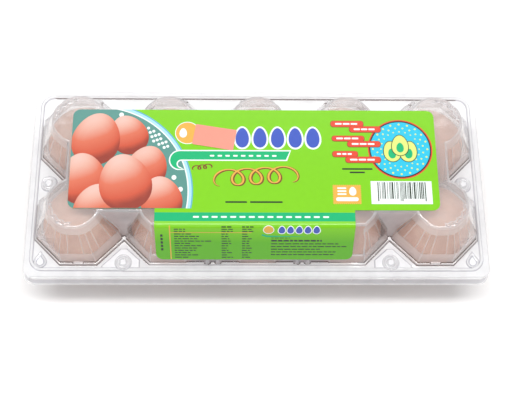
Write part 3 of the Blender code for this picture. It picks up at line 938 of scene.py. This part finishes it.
def egg(node):
    """An egg of its solid's size, on its pointed end."""
    low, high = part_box(node)
    length = high.z - low.z
    radius = (high.x - low.x + high.y - low.y) / 4
    widest_z = low.z + WIDEST * length
    bpy.ops.object.select_all(action="DESELECT")
    bpy.ops.mesh.primitive_uv_sphere_add(segments=56, ring_count=36, radius=radius,
                                         location=((low.x + high.x) / 2, (low.y + high.y) / 2, widest_z))
    thing = new("shell_" + node, eggshell)
    edit(thing)
    for side, reach in ((-1, WIDEST * length), (1, (1 - WIDEST) * length)):
        choose("VERT", lambda v: side * (v.co.z - widest_z) > 0.01 * MM)
        bpy.ops.transform.resize(value=(1, 1, reach / radius), center_override=((low.x + high.x) / 2, 0, widest_z))
    done()
    with_modifier(thing, "DISPLACE", texture=unevenness, texture_coords="OBJECT", strength=0.5 * MM, mid_level=0.6)
    bpy.ops.object.shade_smooth()
    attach(thing, "tray")
    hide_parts(node)
    return thing


eggs = [egg(f"egg_{number}") for number in range(1, len(cell_centres) + 1)]
print("eggs:", len(eggs), "| first is", [round(d / MM, 1) for d in eggs[0].dimensions], "mm")

# %% [markdown]
# ## Printed paper
#
# The label is coated paper, printed in flat colours and varnished. Each colour is its own thin piece on the
# sheet, as in screen printing, which gives crisp edges without an image. One function makes an ink: its colour,
# a faint unevenness, and the satin of the varnish over the paper's fibres. The label's green is painted darker
# on the drop as painted shade of the slope, so an ink can have a second colour that it takes on going down.

# %% Inks
DROP_SHADE_FROM, DROP_SHADE_TO = 68.5 * MM, 58 * MM


def ink(name, code, roughness=0.24, drop_shade_colour=None):
    material, tree = empty_material(name)
    place = add(tree, "ShaderNodeTexCoord")
    mottle = add(tree, "ShaderNodeTexNoise", {"Scale": size(3), "Detail": 5.0}, {"Vector": place.outputs["Object"]})
    share = add(tree, "ShaderNodeMapRange", {"From Min": 0.3, "From Max": 0.7, "To Max": 0.12},
                {"Value": mottle.outputs["Fac"]})
    deep = tuple(0.72 * value for value in colour(code)[:3]) + (1,)
    shade = add(tree, "ShaderNodeMix", {"data_type": "RGBA", 6: colour(code), 7: deep}, {0: share.outputs["Result"]})
    # Painted shade: the colour darkens going down the drop
    if drop_shade_colour:
        height = add(tree, "ShaderNodeSeparateXYZ", {}, {"Vector": place.outputs["Object"]})
        below = add(tree, "ShaderNodeMapRange", {"From Min": DROP_SHADE_FROM, "From Max": DROP_SHADE_TO},
                    {"Value": height.outputs["Z"]})
        shade = add(tree, "ShaderNodeMix", {"data_type": "RGBA", 7: colour(drop_shade_colour)},
                    {0: below.outputs["Result"], 6: shade.outputs[2]})
    fibres = add(tree, "ShaderNodeTexNoise", {"Scale": size(0.5), "Detail": 3.0}, {"Vector": place.outputs["Object"]})
    bump = add(tree, "ShaderNodeBump", {"Strength": 0.12, "Distance": 0.05 * MM}, {"Height": fibres.outputs["Fac"]})
    shader = add(tree, "ShaderNodeBsdfPrincipled", {"Roughness": roughness, "IOR": 1.5},
                 {"Base Color": shade.outputs[2], "Normal": bump.outputs["Normal"]})
    add(tree, "ShaderNodeOutputMaterial", {}, {"Surface": shader.outputs["BSDF"]})
    return material


INKS = {
    "teal": "#578E85",
    "jade": "#0AAD6E",
    "azure": "#5FA9C4",
    "sky": "#A5D6EA",
    "white": "#E8EFEC",
    "amber": "#DDA847",
    "blue": "#3B55B4",
    "red": "#D8452F",
    "cyan": "#27BBDA",
    "yellow": "#D6E07A",
    "brown": "#7A3F1E",
    "black": "#1F2E1C",
}
# The second green is painted shade for the drop
inks = {"green": ink("offset_ink_green_painted_drop_shade", "#7AC60C", drop_shade_colour="#58AC08")}
inks.update({name: ink(f"offset_ink_{name}", code) for name, code in INKS.items()})
print("inks:", ", ".join(inks))

# %% [markdown]
# ## The label and its fold
#
# The label is cut flat: a wide panel with round corners, and a narrower drop. To fold it, thin lines are cut
# across with Bisect, and at each line all that lies beyond is turned a few degrees, from the last line to the
# first. That gives the soft bend of real card over the carton's front edge.

# %% The blank and how it folds
label_low, label_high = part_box("label")
LABEL_LEFT = label_low.x - 0.8 * MM
# The blank was cut a little askew: its left front edge lies further back than its right one
FRONT_LEFT, FRONT_RIGHT = -27.9 * MM, -28.8 * MM
DROP_LEFT, DROP_RIGHT = -54.8 * MM, 51.2 * MM
CREASE_Y = -37.5 * MM
LABEL_CORNER = 4 * MM
LABEL_SHEET = 0.15 * MM
LABEL_Z = label_high.z - 0.05 * MM
FOLD_ANGLE = math.atan2(25.4, 10.7)
FOLD_STEPS = 7
FOLD_STEP = 0.45 * MM
fold_lines = [CREASE_Y + 1.1 * MM - i * FOLD_STEP for i in range(FOLD_STEPS)]
DROP_END = CREASE_Y - 26.3 * MM


def fold_down(thing):
    """Folds what lies in front of the crease down over the carton's front."""
    edit(thing)
    for line in fold_lines:
        bpy.ops.mesh.select_all(action="SELECT")
        bpy.ops.mesh.bisect(plane_co=(0, line, 0), plane_no=(0, 1, 0))
    for line in reversed(fold_lines):
        if choose("VERT", lambda v: v.co.y < line - 0.001 * MM):
            bpy.ops.transform.rotate(value=-FOLD_ANGLE / FOLD_STEPS, orient_axis="X",
                                     center_override=(0, line, LABEL_Z))
    done()


# The back of the stock is bare paper, which shows when the lid is open
paper_back = ink("label_stock_bare_paper", "#D9D8D2", 0.6)


def label_blank():
    r = LABEL_CORNER
    left, right, back = LABEL_LEFT, label_high.x, label_high.y
    outline = (arc((DROP_RIGHT - r, DROP_END + r), r, -90, 0, 6) + [(DROP_RIGHT, FRONT_RIGHT)]
               + arc((right - r, FRONT_RIGHT + r), r, -90, 0, 6) + arc((right - r, back - r), r, 0, 90, 6)
               + arc((left + r, back - r), r, 90, 180, 6) + arc((left + r, FRONT_LEFT + r), r, 180, 270, 6)
               + [(DROP_LEFT, FRONT_LEFT)] + arc((DROP_LEFT + r, DROP_END + r), r, 180, 270, 6))
    label = flat("label_sheet", outline, LABEL_Z, inks["green"], paper_back)
    fold_down(label)
    with_modifier(label, "SOLIDIFY", thickness=LABEL_SHEET, offset=-1)
    edit(label)
    choose("FACE", lambda f: f.normal.z < -0.05)
    paint_chosen(label, 1)
    done()
    smooth(label, 30)
    print("label's lowest point:", round(min(v.co.z for v in label.data.vertices) / MM, 1), "mm")
    return label


label_sheet = label_blank()
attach(label_sheet, "lid")
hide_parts("label")

# %% [markdown]
# ## The print
#
# The label shows a round picture of eggs on the left, a ribbon, red tabs and a round badge on the right, a
# panel of bars, and rows of fine lines on the drop. All of it is drawn here as plain shapes: each is an
# outline, a layer that says what it covers, and an ink. Lettering is left out, and plain bars stand in its
# place. Outlines are in millimetres on the flat sheet, and what lies beyond the crease goes down with it.

# %% Collect the outlines of the print
LAYER = 0.012 * MM
printed = {name: [] for name in inks}


def lay(name, layer, outline):
    """Adds an outline in millimetres to an ink."""
    printed[name].append((layer, [(x * MM, y * MM) for x, y in outline]))


def oval(x, y, half_width, half_height, turn=0, taper=0.0, steps=40):
    """An ellipse, or an egg where taper is over 0, turned by degrees."""
    points = []
    for i in range(steps):
        angle = 2 * math.pi * i / steps
        across = half_width * math.cos(angle) * (1 - taper * math.sin(angle))
        points.append(Matrix.Rotation(math.radians(turn), 2) @ Vector((across, half_height * math.sin(angle))))
    return [(x + p.x, y + p.y) for p in points]


def bar(left, low, right, high, radius=0.0):
    return round_box(left, low, right, high, radius, 4) if radius else [(left, low), (right, low), (right, high),
                                                                       (left, high)]


FIELD_CENTRE = (-88, -19)
FIELD_RADIUS = 51.6


def field(radius):
    """The part of a disc that lies on the label's left end."""
    left, front, back = LABEL_LEFT / MM, FRONT_LEFT / MM, label_high.y / MM
    cx, cy = FIELD_CENTRE
    low = math.degrees(math.asin((front - cy) / radius))
    high = math.degrees(math.asin((back - cy) / radius))
    return (arc(FIELD_CENTRE, radius, low, high, 30) + arc((left + 4, back - 4), 4, 90, 180, 5)
            + arc((left + 4, front + 4), 4, 180, 270, 5))


lay("azure", 1, field(FIELD_RADIUS + 1.7))
lay("sky", 2, field(FIELD_RADIUS + 1.0))
lay("white", 3, field(FIELD_RADIUS - 0.5))
lay("teal", 4, field(FIELD_RADIUS - 1.2))
for row in range(4):
    for step in range(6 - row):
        at = (-59.5 + step * 2.9 + row * 1.0, 19.0 - row * 2.6 - step * 1.9)
        if math.dist(at, FIELD_CENTRE) < FIELD_RADIUS - 3:
            lay("white", 5, oval(*at, 0.85, 0.85, steps=12))
for x, y in ((-74.5, 27.0), (-45.0, -10.2), (-41.4, -17.0)):
    lay("white", 5, oval(x, y, 1.3, 1.4, steps=16))

for half, layer, name in ((6.7, 2, "white"), (6.3, 3, "amber")):
    lay(name, layer, oval(-38.3, 16.2, half, half))
lay("white", 4, oval(-40.6, 16.2, 2.0, 2.8, taper=0.15))

for step in range(5):
    lay("white", 2, oval(-8.5 + step * 9.6, 13.4, 4.6, 6.9, taper=0.14))
    lay("blue", 3, oval(-8.5 + step * 9.6, 13.4, 3.6, 5.9, taper=0.14))


def ribbon(grow):
    """A ribbon with a slanted right end and a left end that curls under to a point."""
    right, low, high = 15.6, 0.3 - grow, 5.3 + grow
    outer = arc((-42.0, 0.0), 5.3 + grow, 90, 258, 16)
    inner = arc((-41.2, -2.3), 2.6 - grow, 255, 90, 12)
    return [(right - 0.6 + grow, low), (right + 1.6 + grow, high)] + outer + [(-40.0 + grow, -5.4 - grow / 2)] + inner


lay("white", 5, ribbon(0.7))
lay("jade", 6, ribbon(0.0))
for step in range(9):
    lay("white", 7, bar(-26 + step * 4.2, 2.1, -23.6 + step * 4.2, 3.1, 0.4))


def flourish(name, layer, start, end, radius, loops, width):
    """A looped brush stroke, laid in short steps that climb a little, so that it can cross itself."""
    count = 26 * loops
    path = []
    for i in range(count + 1):
        share = i / count
        angle = 2 * math.pi * loops * share
        path.append(Vector((start[0] + (end[0] - start[0]) * share - 1.15 * radius * math.sin(angle),
                            start[1] + (end[1] - start[1]) * share - radius * math.cos(angle))))
    sides = []
    for i, at in enumerate(path):
        ahead = (path[min(i + 1, count)] - path[max(i - 1, 0)]).normalized()
        slant = 0.45 + 0.55 * abs(ahead.y)
        half = width * slant * min(1, 8 * i / count + 0.2, 8 * (count - i) / count + 0.2) / 2
        out = Vector((-ahead.y, ahead.x)) * half
        sides.append((at + out, at - out))
    for i, (one, two) in enumerate(zip(sides, sides[1:])):
        lay(name, layer + 3.2 * i / count, [tuple(one[0]), tuple(one[1]), tuple(two[1]), tuple(two[0])])


flourish("brown", 2, (-20.5, -10.6), (18.5, -8.2), 4.6, 4, 2.3)
flourish("amber", 3, (-20.7, -10.3), (18.3, -7.9), 4.6, 4, 1.1)
flourish("brown", 2, (-34.5, -4.6), (-25.5, -3.4), 1.2, 3, 0.9)
lay("black", 2, bar(-17.5, -24.7, -6.0, -23.8, 0.3))
lay("black", 2, bar(-4.4, -24.7, 12.9, -23.8, 0.3))

TABS = [(39.9, 20.2, 57.7, 23.8), (50.0, 17.0, 67.1, 20.5), (40.3, 11.6, 57.9, 14.8), (48.6, 8.2, 66.6, 11.6),
        (40.3, 2.2, 54.0, 5.6), (47.3, -1.2, 66.3, 2.3)]
for i, (left, low, right, high) in enumerate(TABS):
    lay("brown", 5 + 2 * (i % 2), bar(left - 0.25, low - 0.35, right + 0.25, high + 0.1, 1.6))
    lay("red", 6 + 2 * (i % 2), bar(left, low, right, high, 1.5))
    for part in range(3):
        width = (right - left - 5) / 3
        lay("white", 9, bar(left + 2.4 + part * width, (low + high) / 2 - 0.55, left + 1.8 + (part + 1) * width,
                            (low + high) / 2 + 0.5, 0.4))
print("outlines so far:", sum(len(shapes) for shapes in printed.values()))

# %% Badges, bars and fine rows
BADGE = (77.2, 6.9)
for half, layer, name in ((17.6, 1, "red"), (16.9, 2, "black"), (16.2, 3, "cyan")):
    lay(name, layer, oval(*BADGE, half, half, steps=64))
for turn in range(20):
    for reach in range(3):
        away = 10.4 + 2.2 * reach
        angle = 2 * math.pi * (turn + 0.5 * (reach % 2)) / 20
        lay("yellow", 4, oval(BADGE[0] + away * math.cos(angle), BADGE[1] + away * math.sin(angle),
                              0.42 + 0.08 * reach, 0.42 + 0.08 * reach, steps=10))
for i, (x, y, turn) in enumerate(((-4.6, -1.4, 12), (4.6, -1.4, -12), (0, 2.2, 0))):
    lay("black", 5 + 3 * i, oval(BADGE[0] + x, BADGE[1] + y, 4.8, 6.4, turn, 0.15))
    lay("yellow", 6 + 3 * i, oval(BADGE[0] + x, BADGE[1] + y, 4.4, 6.0, turn, 0.15))
    lay("jade", 7 + 3 * i, oval(BADGE[0] + x, BADGE[1] + y - 1.3, 2.0, 2.9, turn, 0.15))
lay("black", 2, bar(45.2, -5.4, 61.6, -4.5, 0.3))
lay("black", 2, bar(49.2, -7.4, 57.4, -6.5, 0.3))

stamp = []
STAMP = (39.8, -25.2, 54.8, -14.3)
for (x0, y0), (x1, y1), count in (((STAMP[0], STAMP[1]), (STAMP[2], STAMP[1]), 14), ((STAMP[2], STAMP[1]),
                                  (STAMP[2], STAMP[3]), 10), ((STAMP[2], STAMP[3]), (STAMP[0], STAMP[3]), 14),
                                  ((STAMP[0], STAMP[3]), (STAMP[0], STAMP[1]), 10)):
    across = Vector((y1 - y0, x0 - x1)).normalized()
    for i in range(2 * count):
        share = i / (2 * count)
        out = 0.28 if i % 2 else -0.28
        stamp.append((x0 + (x1 - x0) * share + across.x * out, y0 + (y1 - y0) * share + across.y * out))
lay("amber", 2, stamp)
lay("white", 3, bar(41.4, -23.6, 53.4, -21.4, 1.0))
lay("white", 3, oval(50.4, -17.9, 1.9, 2.5, taper=0.14))
for row in range(3):
    lay("white", 3, bar(42.2, -20.0 + row * 1.7, 47.0, -19.1 + row * 1.7, 0.3))

lay("white", 2, bar(60.2, -25.2, 92.9, -12.0))
chance = random.Random(5)
x = 63.8
while x < 89.2:
    width = chance.choice((0.3, 0.3, 0.55, 0.8))
    low = -23.6 if x < 64.6 or x > 88.2 or 75.8 < x < 77.2 else -22.2
    lay("black", 3, bar(x, low, x + width, -12.6))
    x += width + chance.choice((0.35, 0.35, 0.6, 0.9))

lay("jade", 1, bar(DROP_LEFT / MM, -35.1, DROP_RIGHT / MM, -30.2))
for step in range(15):
    lay("white", 2, bar(-34.5 + step * 4.9, -33.2, -31.3 + step * 4.9, -32.2, 0.4))


def down(distance):
    """The place on the flat sheet that ends up this far below the crease, in millimetres."""
    return CREASE_Y / MM - distance + 0.4


lay("amber", 2, bar(-47.1, down(26.2), -46.5, down(0.4)))
lay("amber", 3, bar(-46.5, down(5.5), -3.4, down(5.1)))
chance = random.Random(8)


def fine_row(left, right, low, height=0.7):
    """A row of short bars with gaps between them, up to its right end."""
    x = left
    while x < right - 0.8:
        length = min(chance.uniform(1.2, 3.6), right - x)
        lay("black", 2, bar(x, low, x + length, low + height))
        x += length + 0.55


for row in range(11):
    fine_row(-44.6, -44.6 + chance.uniform(7, 21), down(6.8 + row * 1.84))
    for column in (-19.5, -8.6):
        fine_row(column, column + chance.uniform(3.0, 6.2), down(6.8 + row * 1.84))
for row, columns in ((0, (-19.5, -8.6)), (1, (-44.6, -19.5, -8.6)), (2, (-44.6, -19.5, -8.6))):
    for column in columns:
        fine_row(column, column + 6.0, down(1.5 + row * 1.6))
fine_row(7.0, 17, down(9.7), 0.5)
fine_row(7.0, 34, down(12.2), 1.25)
for row, length in enumerate((36, 41, 27, 35, 34)):
    fine_row(7.0, 7.0 + length, down(14.4 + row * 2.15))
for step in range(5):
    lay("black", 2, bar(-51.9, down(19.4 - step * 2.7), -50.7, down(17.6 - step * 2.7)))
lay("white", 2, oval(5.4, down(3.2), 3.0, 3.0))
lay("amber", 3, oval(5.4, down(3.2), 2.6, 2.6))
for step in range(5):
    lay("white", 2, oval(12.4 + step * 4.6, down(3.4), 2.2, 3.0, taper=0.14))
    lay("blue", 3, oval(12.4 + step * 4.6, down(3.4), 1.7, 2.5, taper=0.14))
lay("jade", 2, [(1.6, down(7.6)), (4.6, down(8.8)), (27.0, down(8.4)), (4.6, down(7.5)), (2.2, down(6.4))])
print("outlines in all:", sum(len(shapes) for shapes in printed.values()))

# %% [markdown]
# ## Lay the inks on the label
#
# Each ink's outlines become one mesh of flat faces. It is folded with the same function as the sheet, so it lies
# on the bend, and thickened by a hair, so that every piece is a closed solid.

# %% One piece for each ink
def printed_piece(name, shapes):
    mesh = bpy.data.meshes.new(f"print_{name}")
    points, faces = [], []
    for layer, outline in shapes:
        faces.append([len(points) + i for i in range(len(outline))])
        points += [(x, y, LABEL_Z + (layer + 0.5) * LAYER) for x, y in outline]
    mesh.from_pydata(points, [], faces)
    piece = bpy.data.objects.new(f"print_{name}", mesh)
    bpy.context.scene.collection.objects.link(piece)
    mesh.materials.append(inks[name])
    edit(piece)
    bpy.ops.mesh.normals_make_consistent(inside=False)
    choose("FACE", lambda f: f.normal.z < 0)
    bpy.ops.mesh.flip_normals()
    done()
    fold_down(piece)
    with_modifier(piece, "SOLIDIFY", thickness=LAYER * 0.9, offset=-1)
    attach(piece, "lid")
    return piece


print_pieces = [printed_piece(name, shapes) for name, shapes in printed.items() if shapes]
print("printed pieces:", [piece.name for piece in print_pieces])

# %% [markdown]
# ## The eggs in the picture
#
# The round picture holds a pile of eggs, shaded as in an airbrushed print: pale towards the light, deep orange
# away from it. Each printed egg is a flat oval inset ring by ring. A value is stored on its points, from 0 at
# the lit side to 1 in the shade, and a colour ramp turns it into ink. Where one egg overlaps another, it simply
# lies a layer higher.

# %% Airbrushed ink and the printed eggs
def airbrush_material():
    material, tree = empty_material("offset_ink_airbrushed_orange")
    shade = add(tree, "ShaderNodeAttribute", {"attribute_name": "shade"})
    ramp = add(tree, "ShaderNodeValToRGB", {}, {"Fac": shade.outputs["Fac"]})
    stops = ((0.0, "#E2CCC5"), (0.26, "#D9A796"), (0.52, "#CE6A4E"), (0.82, "#C24C2E"), (1.0, "#8C2E1B"))
    for place_on_ramp, code in stops[1:-1]:
        ramp.color_ramp.elements.new(place_on_ramp)
    for element, (place_on_ramp, code) in zip(ramp.color_ramp.elements, stops):
        element.position = place_on_ramp
        element.color = colour(code)
    shader = add(tree, "ShaderNodeBsdfPrincipled", {"Roughness": 0.34, "IOR": 1.5},
                 {"Base Color": ramp.outputs["Color"]})
    add(tree, "ShaderNodeOutputMaterial", {}, {"Surface": shader.outputs["BSDF"]})
    return material


airbrush = airbrush_material()
# Place, half width, half height, turn in degrees and layer of each printed egg, in millimetres
PICTURE_EGGS = [
    (-70.0, 15.0, 10.0, 12.0, 24, 6), (-87.5, 12.5, 13.0, 15.5, -10, 7), (-59.8, -4.5, 11.0, 13.0, -16, 8),
    (-93.5, -11.0, 12.5, 15.0, 8, 9), (-51.5, -22.5, 11.0, 13.0, 10, 10), (-84.5, -27.5, 13.0, 13.5, -4, 11),
    (-71.0, -13.0, 14.0, 16.5, 12, 12),
]
picture_bounds = (LABEL_LEFT / MM + 0.1, FRONT_LEFT / MM + 0.1, label_high.y / MM - 0.1)


def picture_eggs():
    mesh = bmesh.new()
    shade = mesh.verts.layers.float.new("shade")
    for x, y, half_width, half_height, turn, layer in PICTURE_EGGS:
        z = LABEL_Z + (layer + 0.5) * LAYER
        centre = mesh.verts.new((x * MM, y * MM, z))
        centre[shade] = 0.52
        rings = []
        for share in (0.25, 0.5, 0.75, 0.92, 1.0):
            ring = []
            for i, (px, py) in enumerate(oval(x, y, half_width * share, half_height * share, turn, 0.13, 44)):
                vertex = mesh.verts.new((px * MM, py * MM, z))
                lit = 0.5 - 0.5 * ((py - y) * 0.86 - (px - x) * 0.3) / half_height
                vertex[shade] = min(1, max(0, 1.25 * lit + 0.22 * share ** 4 - 0.1))
                ring.append(vertex)
            rings.append(ring)
        count = len(rings[0])
        for i in range(count):
            j = (i + 1) % count
            mesh.faces.new((centre, rings[0][i], rings[0][j]))
            for inner, outer in zip(rings, rings[1:]):
                mesh.faces.new((inner[i], outer[i], outer[j], inner[j]))
    left, front, back = picture_bounds
    for place, normal in (((left, 0), (-1, 0)), ((0, front), (0, -1)), ((0, back), (0, 1))):
        geometry = mesh.verts[:] + mesh.edges[:] + mesh.faces[:]
        bmesh.ops.bisect_plane(mesh, geom=geometry, plane_co=(place[0] * MM, place[1] * MM, 0),
                               plane_no=(*normal, 0), clear_outer=True)
    data = bpy.data.meshes.new("print_eggs")
    mesh.to_mesh(data)
    mesh.free()
    piece = bpy.data.objects.new("print_eggs", data)
    bpy.context.scene.collection.objects.link(piece)
    data.materials.append(airbrush)
    with_modifier(piece, "SOLIDIFY", thickness=LAYER * 0.9, offset=-1)
    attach(piece, "lid")
    return piece


printed_eggs = picture_eggs()
print("printed eggs:", len(PICTURE_EGGS), "with", len(printed_eggs.data.polygons), "faces")

# %% [markdown]
# ## The price sticker
#
# A small label in salmon pink, put on by hand and a little askew. It is thicker than the print, its corners are
# round, and its corner lifts slightly, as such stickers do.

# %% The sticker
sticker_low, sticker_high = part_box("price_sticker")
STICKER_LENGTH, STICKER_WIDTH = 22.5 * MM, 12.2 * MM
STICKER_TURN = math.radians(-9.5)
STICKER_LIFT = 0.35 * MM


def price_sticker():
    half_x, half_y = STICKER_LENGTH / 2, STICKER_WIDTH / 2
    z = LABEL_Z + 15 * LAYER
    sticker = flat("sticker_sheet", round_box(-half_x, -half_y, half_x, half_y, 0.8 * MM), z,
                   ink("label_stock_salmon", "#E68F7C", 0.5))
    edit(sticker)
    for share in range(1, 12):
        bpy.ops.mesh.select_all(action="SELECT")
        bpy.ops.mesh.bisect(plane_co=(-half_x + share * STICKER_LENGTH / 12, 0, 0), plane_no=(1, 0, 0))
    done()
    for vertex in sticker.data.vertices:
        towards_corner = max(0, (vertex.co.x / half_x + vertex.co.y / half_y) / 2 - 0.35)
        vertex.co.z += STICKER_LIFT * towards_corner ** 2 / 0.65 ** 2
    centre = (sticker_low + sticker_high) / 2
    sticker.data.transform(Matrix.Translation((centre.x, centre.y, 0)) @ Matrix.Rotation(STICKER_TURN, 4, "Z"))
    with_modifier(sticker, "SOLIDIFY", thickness=0.1 * MM, offset=1)
    smooth(sticker, 30)
    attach(sticker, "lid")
    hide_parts("price_sticker")
    return sticker


sticker_sheet = price_sticker()
print("sticker:", [round(d / MM, 1) for d in sticker_sheet.dimensions], "mm")

# %% [markdown]
# ## Floor, light and camera
#
# The carton stands on white paper in soft light. A large lamp behind throws the soft shadow under the front edge,
# a smaller one overhead draws the bright lines on the rounded rims and the label's fold, a third gives the
# sparkles, and the pale world fills in the rest. The camera
# looks down from the front, fitted to the photograph from the known sizes.

# %% Floor
FLOOR_SIZE = 4.0


def floor_material():
    material, tree = empty_material("white_paper_backdrop")
    place = add(tree, "ShaderNodeTexCoord")
    grain = add(tree, "ShaderNodeTexNoise", {"Scale": size(2), "Detail": 2.0}, {"Vector": place.outputs["Object"]})
    bump = add(tree, "ShaderNodeBump", {"Strength": 0.05, "Distance": 0.1 * MM}, {"Height": grain.outputs["Fac"]})
    shader = add(tree, "ShaderNodeBsdfPrincipled", {"Base Color": colour("#F7F6F5"), "Roughness": 0.7},
                 {"Normal": bump.outputs["Normal"]})
    add(tree, "ShaderNodeOutputMaterial", {}, {"Surface": shader.outputs["BSDF"]})
    return material


bpy.ops.object.select_all(action="DESELECT")
bpy.ops.mesh.primitive_plane_add(size=FLOOR_SIZE, location=(0, 0, -0.2 * MM))
floor = new("paper_floor", floor_material())

# %% Light
world = bpy.data.worlds.new("pale_studio")
world.use_nodes = True
bpy.context.scene.world = world
background = world.node_tree.nodes["Background"]
background.inputs["Color"].default_value = colour("#F6F7FA")
background.inputs["Strength"].default_value = 0.4


def softbox(name, place, size_x, size_y, watts):
    """A rectangular lamp that faces the carton."""
    lamp = bpy.data.lights.new(name, "AREA")
    lamp.shape = "RECTANGLE"
    lamp.size, lamp.size_y = size_x, size_y
    lamp.energy = watts
    thing = bpy.data.objects.new(name, lamp)
    bpy.context.scene.collection.objects.link(thing)
    thing.location = place
    aim = Vector((0, 0, 40 * MM))
    thing.rotation_euler = (aim - Vector(place)).to_track_quat("-Z", "Y").to_euler()


softbox("overhead", (0.0, -0.06, 1.35), 1.4, 0.24, 16.4)
softbox("back", (0.0, 0.82, 1.2), 1.2, 0.4, 3)
softbox("front_strip", (-0.06, -0.85, 0.85), 0.24, 0.06, 0.7)
softbox("sparkle", (-0.5, -0.85, 0.85), 0.1, 0.1, 1.0)
bpy.context.scene.view_settings.view_transform = "Standard"
# A look through several clear walls crosses more surfaces than Blender follows by default
bpy.context.scene.cycles.transparent_max_bounces = 32
print("lights placed")

# %% Camera
FRAME_WIDTH, FRAME_HEIGHT = 512, 400
FOCAL_PIXELS = 1025.3
SENSOR = 36
camera_place = Vector((-12.7, -226.2, 573.9)) * MM
CAMERA_DOWN, CAMERA_YAW, CAMERA_ROLL = (math.radians(angle) for angle in (68.03, -3.23, 3.13))
camera_data = bpy.data.cameras.new("camera")
camera_data.sensor_width = SENSOR
camera_data.lens = FOCAL_PIXELS * SENSOR / FRAME_WIDTH
camera = bpy.data.objects.new("camera", camera_data)
bpy.context.scene.collection.objects.link(camera)
camera.matrix_world = (Matrix.Translation(camera_place) @ Matrix.Rotation(CAMERA_YAW, 4, "Z")
                       @ Matrix.Rotation(math.pi / 2 - CAMERA_DOWN, 4, "X") @ Matrix.Rotation(CAMERA_ROLL, 4, "Z"))
bpy.context.scene.camera = camera
print(f"camera {camera_place.length:.2f} m from the carton, lens {camera_data.lens:.1f} mm")
